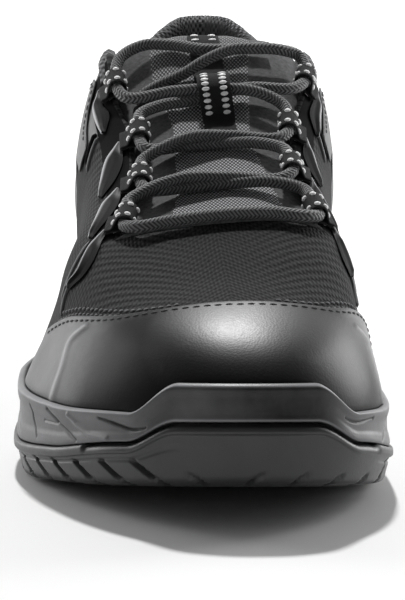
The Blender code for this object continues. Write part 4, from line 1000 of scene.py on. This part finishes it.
def addTube(name, path, radius, look):  # plain thin cord
    tangent = unit(np.gradient(path, axis=0))
    side = unit(np.cross(tangent, (0.0, 0.0, 1.0)))
    a = np.linspace(0.0, 2 * np.pi, 11)[None, :, None]
    run = np.linspace(0.0, 1.0, len(path))
    thinEnds = np.minimum(ease(-0.02, 0.12, run), ease(-0.02, 0.12, 1 - run))
    radius = radius * thinEnds[:, None, None]
    grid = path[:, None] + radius * (side[:, None] * np.cos(a) + np.cross(tangent, side)[:, None] * np.sin(a))
    grid[:, -1] = grid[:, 0]
    caps = [np.stack([np.repeat(path[i][None], grid.shape[1], 0), grid[i]]) for i in (0, -1)]
    return bodyPiece(name, [patch(part) for part in [grid] + caps], look)


addUpper()
sideLines = [  # along and level of thin raised lines: side, radius, finish, places
    ("lateralCornerLine", -1, 0.6, "piping", [(218.5, 0.5), (219.0, 0.42), (221.0, 0.34), (223.0, 0.28)]),
    ("medialCornerLine", 1, 0.6, "piping", [(221.0, 0.56), (223.0, 0.48), (226.0, 0.41), (229.0, 0.36)]),
    ("lateralQuarterLine", -1, 0.55, "piping",
     [(203.5, 0.77), (208.0, 0.66), (212.0, 0.54), (215.0, 0.42), (217.0, 0.32)]),
    ("medialQuarterLine", 1, 0.55, "piping",
     [(205.0, 0.76), (210.0, 0.64), (214.0, 0.52), (217.0, 0.4), (219.0, 0.32)])]
for label, side in (("lateral", -1), ("medial", 1)):  # slot in front of the counter's arm
    sideLines.append((label + "Slot", side, 0.95, "eyestay", [(136.0, 0.69), (138.0, 0.58), (141.0, 0.47)]))
    sideLines.append((label + "SlotEdge", side, 0.6, "piping", [(138.6, 0.7), (140.6, 0.58), (143.6, 0.46)]))
for name, side, radius, look, places in sideLines:
    along, level = through(np.array(places) * (1.0, 70.0), 30).T
    addTube(name, onUpper(turnOf(along, side), level / 70.0, np.full(30, 0.25)), radius, looks[look])
print("upper made")


# Collar: padded lining over the topline and down the inside, with upright ribs
collar = {"columns": 960, "rows": 24, "reach": 0.4255, "pad": 5.0, "roll": 5.5, "over": 0.3, "ribs": 0.26,
          "ribsPerTurn": 217, "thick": 0.8}


def addCollarLining():
    reach, over = collar["reach"], collar["over"]
    wide = np.linspace(-reach, reach, collar["columns"] + 1)
    turn = np.mod(wide + 2.0, 2.0)
    pad = collar["pad"] * (1 - ease(64.0, 112.0, alongOf(turn)))
    ends = ease(0.0, 0.055, reach - np.abs(wide))
    edge = 1 - 1.2 / girthOf(turn) - 0.07 * (1 - ends)
    ribs = collar["ribs"] * np.sin(2 * np.pi * wide * collar["ribsPerTurn"])
    ribs = ribs * ease(0.02, 0.11, reach - np.abs(wide))
    roll = collar["roll"] * ease(8.0, 26.0, alongOf(turn)) * (1 - ease(84.0, 112.0, alongOf(turn)))
    points = []
    for share in np.linspace(0.0, 1.0, collar["rows"]):
        angle = np.pi * min(share / over, 1.0)
        if share < over:  # over the rim, from outside to inside
            deep = (1 - math.cos(angle)) / 2
            lift = 0.1 + 0.35 * ends - (upper["wall"] + 0.2 + 0.7 * ends + pad) * deep
            level = edge - 0.03 + (0.03 + 0.025 * ends) * math.sin(angle)
        else:
            down = (share - over) / (1 - over)
            lift = -(upper["wall"] + 0.1 + 0.35 * ends + pad * (1 - ease(0.35, 1.0, down)))
            level = edge - 0.03 - 0.5 * down
        high = np.maximum(level - 1.0, 0.0) * 70.0 + roll * math.sin(angle)
        rise = np.array([0, 0, 1.0]) * high[:, None]
        points.append(onUpper(turn, np.minimum(level, 1.0), lift + ribs) + rise)
    grid = np.stack(points)
    normal = np.cross(np.gradient(grid, axis=1), np.gradient(grid, axis=0))
    inner = grid + unit(normal) * collar["thick"]
    piece = sheetPiece("collarLining", grid, inner, looks["lining"])


addCollarLining()
print("collar lined")

# Smooth covers on the upper
cover = {"gap": 0.3, "thick": 1.5}
seam = {"along": 263.5, "drop": 16.5, "lateral": 35.5, "medial": 33.5, "power": 3.6}
counterTable = tableOf("along low high", [
    (0, 0, 0.64), (40, 0, 0.58), (72, 0, 0.62), (92, 0.1, 0.74), (103, 0.2, 0.82), (110, 0.26, 0.8),
    (120, 0.3, 0.59), (136, 0.36, 0.52)])


def seamLevel(turn):
    levels = np.linspace(0.0, 1.9, 500)[:, None]
    points = upperPoint(turn[None], levels)
    along = length / 2 - points[..., 1]
    sideways = points[..., 0] - at(planTable, "spine", along)
    width = np.where(sideways < 0, seam["lateral"], seam["medial"])
    behind = along < seam["along"] - seam["drop"] * (np.abs(sideways) / width) ** seam["power"]
    return np.where(behind.any(0), levels[np.argmax(behind, axis=0), 0], 1.9)


def levelAboveRim(turn, above):
    levels = np.linspace(0.0, 1.0, 300)[:, None]
    heights = upperPoint(turn[None], levels)[..., 2]
    return levels[np.argmax(heights > rimHeight(turn) + above, axis=0), 0]


def softened(values, width):
    kernel = np.hanning(2 * width + 1)
    padded = np.pad(values, width, mode="edge")
    return np.convolve(padded, kernel / kernel.sum(), mode="valid")


def addCover(name, turn, low, high, rows, gap, thick, look, nodes, swell=None, shade=None):
    level = low + (high - low) * np.linspace(0.0, 1.0, rows)[:, None]
    turns = np.broadcast_to(turn, level.shape)
    points, normal = upperPoint(turns, level), upperNormal(turns, level)
    extra = np.zeros(level.shape) if swell is None else swell(turns, level)
    outer, inner = points + normal * (gap + thick + extra)[..., None], points + normal * gap
    # the mark paints light: a painted highlight along the swell's raised lines plus the painted light of the
    # shade function
    light = extra if shade is None else np.minimum(extra + shade(turns, level), 1.0)
    return sheetPiece(name, outer, inner, look, nodes, marks=light)


cap = {"back": (217.0, 219.0), "columns": 241, "rows": 60, "tuck": -1.2, "line": 0.6, "lineWidth": 1.0,
       "lines": [[(0.729, 0.46), (0.716, 0.28), (0.728, 0.1), (0.733, -0.02)],
                 [(1.255, 0.48), (1.272, 0.28), (1.262, 0.1), (1.257, -0.02)]],  # turn and level
       "perTurn": 220.0, "perLevel": 40.0}  # millimetres, about
capEnds = [float(turnOf(back, side)) for back, side in zip(cap["back"], (-1, 1))]
capTurn = np.linspace(*capEnds, cap["columns"])
capLow = levelAboveRim(capTurn, cap["tuck"])
capHigh = np.maximum(softened(seamLevel(capTurn), 5), capLow + 0.06)


def capSwell(turn, level):  # a soft raised line at each side of the cap
    lift = 0.0
    for line in cap["lines"]:
        path = through(np.array(line), 20) * (cap["perTurn"], cap["perLevel"])
        away = lineDistance(turn * cap["perTurn"], level * cap["perLevel"], path)
        lift = lift + cap["line"] * bell(away, cap["lineWidth"])
    return lift


def capSideLight(turn, level):  # painted light: paler at both sides of the cap, where the side lights fall on it
    return 0.38 * (1 - ease(0.695, 0.8, turn)) + 0.65 * ease(1.225, 1.31, turn)


# the cap's mark carries painted light on its sides and a painted highlight on its raised lines
addCover("toeCapCover", capTurn, capLow, capHigh, cap["rows"], cover["gap"], cover["thick"],
         looks["leather"], ["toe_cap"], capSwell, capSideLight)
counter = {"end": 14.0 / 30.0, "columns": 201, "rows": 32, "aboveRim": 0.2, "thick": 2.0, "thinner": 1.4}
counterTurn = np.linspace(-counter["end"], counter["end"], counter["columns"])
counterAlong = alongOf(counterTurn)
counterRim = levelAboveRim(np.mod(counterTurn, 2.0), counter["aboveRim"])
counterLow = np.maximum(counterRim, at(counterTable, "low", counterAlong))
counterHigh = at(counterTable, "high", counterAlong)
counterThick = counter["thick"] - counter["thinner"] * ease(60.0, 100.0, counterAlong)  # thin arms
addCover("heelCounterCover", counterTurn, counterLow, counterHigh, counter["rows"], cover["gap"],
         counterThick, looks["counter"], ["heel_counter"])
print("toe cap and heel counter made")

# Leaf straps under the lace loops: along and level down their outer and their inner edge
straps = {
    ("lateral", 1): ([(118.0, 0.84), (122.0, 0.77), (132.0, 0.755), (140.0, 0.77)],
                     [(119.5, 0.855), (127.0, 0.865), (134.0, 0.9), (140.8, 0.8)]),
    ("lateral", 2): ([(151.5, 0.9), (157.5, 0.78), (166.0, 0.745), (174.0, 0.735)],
                     [(153.5, 0.925), (163.0, 0.925), (170.0, 0.87), (176.0, 0.755)]),
    ("lateral", 3): ([(178.0, 0.9), (183.0, 0.815), (194.0, 0.785), (202.5, 0.76)],
                     [(180.0, 0.925), (190.0, 0.925), (197.5, 0.88), (204.0, 0.785)]),
    ("lateral", 4): ([(204.5, 0.905), (208.5, 0.81), (213.5, 0.735), (218.5, 0.63), (218.0, 0.48)],
                     [(207.0, 0.915), (213.5, 0.87), (219.5, 0.785), (223.0, 0.66), (221.0, 0.49)]),
    ("medial", 1): ([(118.0, 0.81), (123.5, 0.72), (133.0, 0.69), (141.0, 0.66)],
                    [(119.5, 0.83), (127.0, 0.84), (135.0, 0.85), (142.0, 0.69)]),
    ("medial", 2): ([(152.0, 0.86), (159.0, 0.78), (167.0, 0.735), (173.0, 0.7)],
                    [(154.0, 0.88), (163.0, 0.9), (170.0, 0.845), (175.5, 0.72)]),
    ("medial", 3): ([(178.0, 0.865), (186.0, 0.815), (196.0, 0.785), (204.0, 0.755)],
                    [(180.0, 0.888), (190.0, 0.905), (198.0, 0.87), (205.5, 0.775)]),
    ("medial", 4): ([(204.5, 0.85), (208.0, 0.77), (213.0, 0.66), (219.5, 0.53)],
                    [(207.5, 0.866), (214.0, 0.84), (220.0, 0.76), (223.0, 0.58)])}
strapForm = {"thick": 0.9, "ridge": 0.5, "ridgeAt": 0.14, "ridgeWidth": 0.24, "dip": 0.3, "dipAt": 0.55,
             "dipWidth": 0.2, "columns": 60, "rows": 25}


def strapPlaces(key, share):  # turns and levels on a leaf at shares from its outer to its inner edge
    scale = np.array([1.0, 70.0])
    outer, inner = [through(np.array(edge) * scale, strapForm["columns"]) / scale for edge in straps[key]]
    places = outer + (inner - outer) * np.asarray(share)[:, None, None]
    return turnOf(places[..., 0], -1 if key[0] == "lateral" else 1), places[..., 1]


def addStraps():
    share = np.linspace(0.0, 1.0, strapForm["rows"])
    run = np.linspace(0.0, 1.0, strapForm["columns"])
    ridge = strapForm["ridge"] * bell(share - strapForm["ridgeAt"], strapForm["ridgeWidth"])[:, None]
    dip = strapForm["dip"] * bell(share - strapForm["dipAt"], strapForm["dipWidth"])[:, None]
    fade = ease(0.12, 0.34, run) * ease(0.0, 0.1, 1 - run)
    for key in straps:
        turns, levels = strapPlaces(key, share)
        points, normal = upperPoint(turns, levels), upperNormal(turns, levels)
        thick = strapForm["thick"] * (1 - 0.65 * ease(0.45, 1.0, share))[:, None]
        lift = cover["gap"] + thick + (ridge - dip) * (0.15 + 0.85 * fade)
        outer, inner = points + normal * lift[..., None], points + normal * cover["gap"]
        # painted highlight along each strap's outer edge; the tab by the loop is paler
        edgeLight, topLight = (1 - ease(0.04, 0.3, share))[:, None], 0.22 * (1 - ease(0.1, 0.22, run))
        light = np.maximum(edgeLight, topLight) * np.ones_like(lift)
        sheetPiece(f"{key[0]}Strap{key[1]}", outer, inner, looks["trim"],
                   [f"strap_{key[0]}_{key[1]}"], marks=light)


addStraps()
print("straps made")

dashRows = []  # paths of the reflective dashes, with the way up at each point


def addLoops():
    base = loop["outer"] * math.sin(math.radians(-38.0))
    middleRadius = (loop["outer"] + loop["inner"]) / 2
    angles = np.radians(np.linspace(-48.0, -318.0, 28))
    ring = [(middleRadius * math.cos(a), middleRadius * math.sin(a)) for a in angles]
    lowTail = [(loop["tail"], base + 0.4), (4.2, base + 0.4)]
    highTail = [(3.2, base + 2.3), (4.4, base + 1.25), (loop["tail"], base + 1.15)]
    line = through(lowTail + ring + highTail, 60)
    run = np.gradient(line, axis=0)
    face = unit(np.stack([run[:, 1], -run[:, 0]], -1))
    face = face if (face[30] @ line[30]) > 0 else -face
    widths = np.linspace(-loop["half"], loop["half"], 13)
    for (row, side), (middle, tunnel, outer, rise) in loopPlaces.items():
        fold = middle + line[:, :1] * outer + line[:, 1:] * rise
        up = face[:, :1] * outer + face[:, 1:] * rise
        thin = loop["thin"] * (1 - 0.15 * np.abs(widths / loop["half"]) ** 4)
        sheet, half = fold[:, None] + widths[None, :, None] * tunnel, up[:, None] * thin[None, :, None]
        label = "lateral" if side < 0 else "medial"
        sheetPiece(f"{label}Loop{row}", sheet + half, sheet - half, looks["webbing"],
                   [f"lace_loop_{label}_{row}"], steps=3)
        for across in (-loop["dash"], loop["dash"]):
            dashRows.append(((fold + across * tunnel + up * 0.45)[6:50], up[6:50]))


addLoops()
print("lace loops made")

# Tongue: padded, with an open mesh middle and smooth side panels
tongue = {"top": 99.0, "end": 229.0, "thick": 4.5, "edge": 3.3, "middle": 2.2}
meshTable = tableOf("along lateral medial", [  # half widths of the mesh
    (99, 17, 14.5), (118, 16, 14), (150, 9.5, 13.5), (180, 9, 18), (205, 12.5, 21.5), (229, 14, 22)])
tongueTable = tableOf("along lateral medial", [  # half widths of the tongue
    (99, 20, 22), (103, 27, 30.5), (112, 29.5, 33.5), (130, 31, 35), (165, 31, 34), (205, 33, 35),
    (229, 27, 27)])


def tongueDepth(along, sideways):
    half = bySide(tongueTable, "", along, sideways)
    share = np.abs(sideways) / half
    covered = np.maximum(ease(0.3, 0.7, share), ease(198.0, 209.0, along))
    depth = tongue["middle"] + (tongue["edge"] - tongue["middle"]) * covered
    return depth, tongue["thick"] * (1 - 0.5 * ease(0.6, 1.0, share))


def addTongue():
    along = np.linspace(tongue["top"], tongue["end"], 120)
    share = np.linspace(-1.0, 1.0, 81)[:, None]
    sideways = share * bySide(tongueTable, "", along, share)
    alongs = np.broadcast_to(along, sideways.shape)
    depth, thick = tongueDepth(alongs, sideways)
    point, normal = instepFrame(alongs, sideways)
    lateralEdge, medialEdge = -at(meshTable, "lateral", along), at(meshTable, "medial", along)
    inside = ease(-0.8, 0.8, sideways - lateralEdge) * ease(-0.8, 0.8, medialEdge - sideways)
    lift = -depth + 0.15 + 0.4 * inside
    outer, inner = point + normal * lift[..., None], point - normal * (depth + thick)[..., None]
    uv = np.stack([sideways, alongs], -1)
    points, faces, corners, _ = rimmedSheet([(outer, uv)], [inner])
    sideMiddle, alongMiddle = corners[..., 0].mean(1), corners[..., 1].mean(1)
    panel = np.abs(sideMiddle) > bySide(meshTable, "", alongMiddle, sideMiddle)
    finishes = [looks["tongue"], looks["panel"]]
    piece = addPiece("tonguePad", points, faces, corners, finishes, ["tongue"], panel)


addTongue()
print("tongue made")

# Keeper strip on the tongue, lifted where the lace runs under it
keeper = {"half": 4.6, "thick": 0.9, "dash": 2.7,
          "path": [(101.0, 0.0, -1.8), (108.0, 0.6, -1.8), (122.0, 2.0, -1.8), (127.5, 2.6, -0.8),
                   (131.0, 3.0, 3.0), (134.0, 3.4, 5.9), (139.5, 3.8, 5.9), (143.0, 4.2, 2.6),
                   (146.0, 4.6, -1.8), (153.0, 5.0, -1.8)]}  # along, sideways and lift
keeperRows = []


def addKeeper():
    path = through(np.array(keeper["path"]), 90)
    across = np.linspace(-1.0, 1.0, 15)[:, None]
    along = np.broadcast_to(path[:, 0], (15, 90))
    point, normal = instepFrame(along, path[:, 1] + across * keeper["half"])
    low = point + normal * path[:, 2][None, :, None]
    high = low + normal * (keeper["thick"] * (1 - 0.25 * across**4))[..., None]
    sheetPiece("keeperStrip", high, low, looks["webbing"], ["tongue_keeper"], steps=3)
    for side in (-1, 1):
        point, normal = instepFrame(path[:, 0], path[:, 1] + side * keeper["dash"])
        line = point + normal * (path[:, 2:] + keeper["thick"] + 0.05)
        for low, high in ((101.0, 105.5), (129.0, 145.0)):
            shown = (path[:, 0] > low) & (path[:, 0] < high)
            keeperRows.append((line[shown], normal[shown]))


addKeeper()


# Stitches and dashes: one node tree lays rounded beads along each path
beadSizes = ("Pitch", "Length", "Width", "Height")
beadForms = {"loopDashes": (2.6, 2.0, 1.7, 1.0), "keeperDashes": (1.8, 1.45, 2.5, 0.6),
             "seamStitches": (3.0, 2.2, 0.85, 0.6), "cornerStitches": (2.3, 1.6, 1.2, 0.7)}


def beadTree():
    tree = bpy.data.node_groups.new("beadRow", "GeometryNodeTree")
    inputs = [("Geometry", "Geometry"), ("Look", "Material")] + [(size, "Float") for size in beadSizes]
    sockets = {}
    for name, kind in inputs:
        sockets[name] = tree.interface.new_socket(name, in_out="INPUT", socket_type="NodeSocket" + kind)
    tree.interface.new_socket("Geometry", in_out="OUTPUT", socket_type="NodeSocketGeometry")
    make, link = tree.nodes.new, tree.links.new
    start, end = make("NodeGroupInput"), make("NodeGroupOutput")
    curve, even = make("GeometryNodeMeshToCurve"), make("GeometryNodeResampleCurve")
    even.mode = "LENGTH"
    bead, size = make("GeometryNodeMeshUVSphere"), make("ShaderNodeCombineXYZ")
    bead.inputs["Segments"].default_value, bead.inputs["Rings"].default_value = 8, 5
    bead.inputs["Radius"].default_value = 0.5
    tangent, up = make("GeometryNodeInputTangent"), make("GeometryNodeInputNamedAttribute")
    up.data_type = "FLOAT_VECTOR"
    up.inputs["Name"].default_value = "up"
    turn, roll = make("FunctionNodeAlignRotationToVector"), make("FunctionNodeAlignRotationToVector")
    turn.axis, roll.axis, roll.pivot_axis = "X", "Z", "X"
    place, real = make("GeometryNodeInstanceOnPoints"), make("GeometryNodeRealizeInstances")
    paint, shade = make("GeometryNodeSetMaterial"), make("GeometryNodeSetShadeSmooth")
    link(start.outputs["Geometry"], curve.inputs["Mesh"])
    link(curve.outputs["Curve"], even.inputs["Curve"])
    link(start.outputs["Pitch"], even.inputs["Length"])
    for name, axis in (("Length", "X"), ("Width", "Y"), ("Height", "Z")):
        link(start.outputs[name], size.inputs[axis])
    link(tangent.outputs["Tangent"], turn.inputs["Vector"])
    link(turn.outputs["Rotation"], roll.inputs["Rotation"])
    link(up.outputs["Attribute"], roll.inputs["Vector"])
    link(even.outputs["Curve"], place.inputs["Points"])
    link(bead.outputs["Mesh"], place.inputs["Instance"])
    link(roll.outputs["Rotation"], place.inputs["Rotation"])
    link(size.outputs["Vector"], place.inputs["Scale"])
    link(place.outputs["Instances"], real.inputs["Geometry"])
    link(real.outputs["Geometry"], shade.inputs["Geometry"])
    link(shade.outputs["Geometry"], paint.inputs["Geometry"])
    link(start.outputs["Look"], paint.inputs["Material"])
    link(paint.outputs["Geometry"], end.inputs["Geometry"])
    return tree, {name: socket.identifier for name, socket in sockets.items()}


beads, beadSockets = beadTree()


def addBeads(name, rows, look):
    points, edges, ups = [], [], []
    for path, up in rows:
        start = sum(len(p) for p in points)
        points.append(path)
        ups.append(np.broadcast_to(up, path.shape))
        edges += [(start + i, start + i + 1) for i in range(len(path) - 1)]
    mesh = bpy.data.meshes.new(name + "Paths")
    mesh.from_pydata((np.concatenate(points) * mm).tolist(), edges, [])
    field = mesh.attributes.new("up", "FLOAT_VECTOR", "POINT")
    field.data.foreach_set("vector", np.concatenate(ups).astype(np.float32).ravel())
    source = bpy.data.objects.new(name + "Paths", mesh)
    bpy.context.scene.collection.objects.link(source)
    modifier = source.modifiers.new("beads", "NODES")
    modifier.node_group = beads
    for key, value in zip(beadSizes, beadForms[name]):
        modifier[beadSockets[key]] = value * mm
    modifier[beadSockets["Look"]] = look
    made = bpy.data.meshes.new_from_object(source.evaluated_get(bpy.context.evaluated_depsgraph_get()))
    bpy.data.objects.remove(source)
    made.name = name
    if not made.materials:
        made.materials.append(look)
    piece = bpy.data.objects.new(name, made)
    bpy.context.scene.collection.objects.link(piece)
    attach(piece, "root")
    return piece


addBeads("loopDashes", dashRows, looks["reflective"])
addBeads("keeperDashes", keeperRows, looks["reflective"])

stitchRows, cornerRows = [], []


def stitchOn(rows, turn, level, lift):
    turn, level = np.broadcast_arrays(np.asarray(turn, float), np.asarray(level, float))
    rows.append((onUpper(turn, level, np.broadcast_to(lift, turn.shape)), upperNormal(turn, level)))


def addStitches():
    girth = girthOf(capTurn)
    stitchOn(stitchRows, capTurn[4:-4], (capHigh - 1.5 / girth)[4:-4], cover["gap"] + cover["thick"])
    for ends in (slice(4, 60), slice(-60, -4)):
        stitchOn(cornerRows, capTurn[ends], (capHigh + 2.2 / girth)[ends], 0.1)
        stitchOn(cornerRows, capTurn[ends], (capHigh + 4.9 / girth)[ends], 0.1)
    reach = girthOf(np.mod(counterTurn, 2.0))
    stitchOn(stitchRows, counterTurn[3:-3], (counterHigh - 2.2 / reach)[3:-3], (counterThick + 0.35)[3:-3])
    addBeads("seamStitches", stitchRows, looks["thread"])
    addBeads("cornerStitches", cornerRows, looks["cornerThread"])


addStitches()
print("stitches and dashes laid")
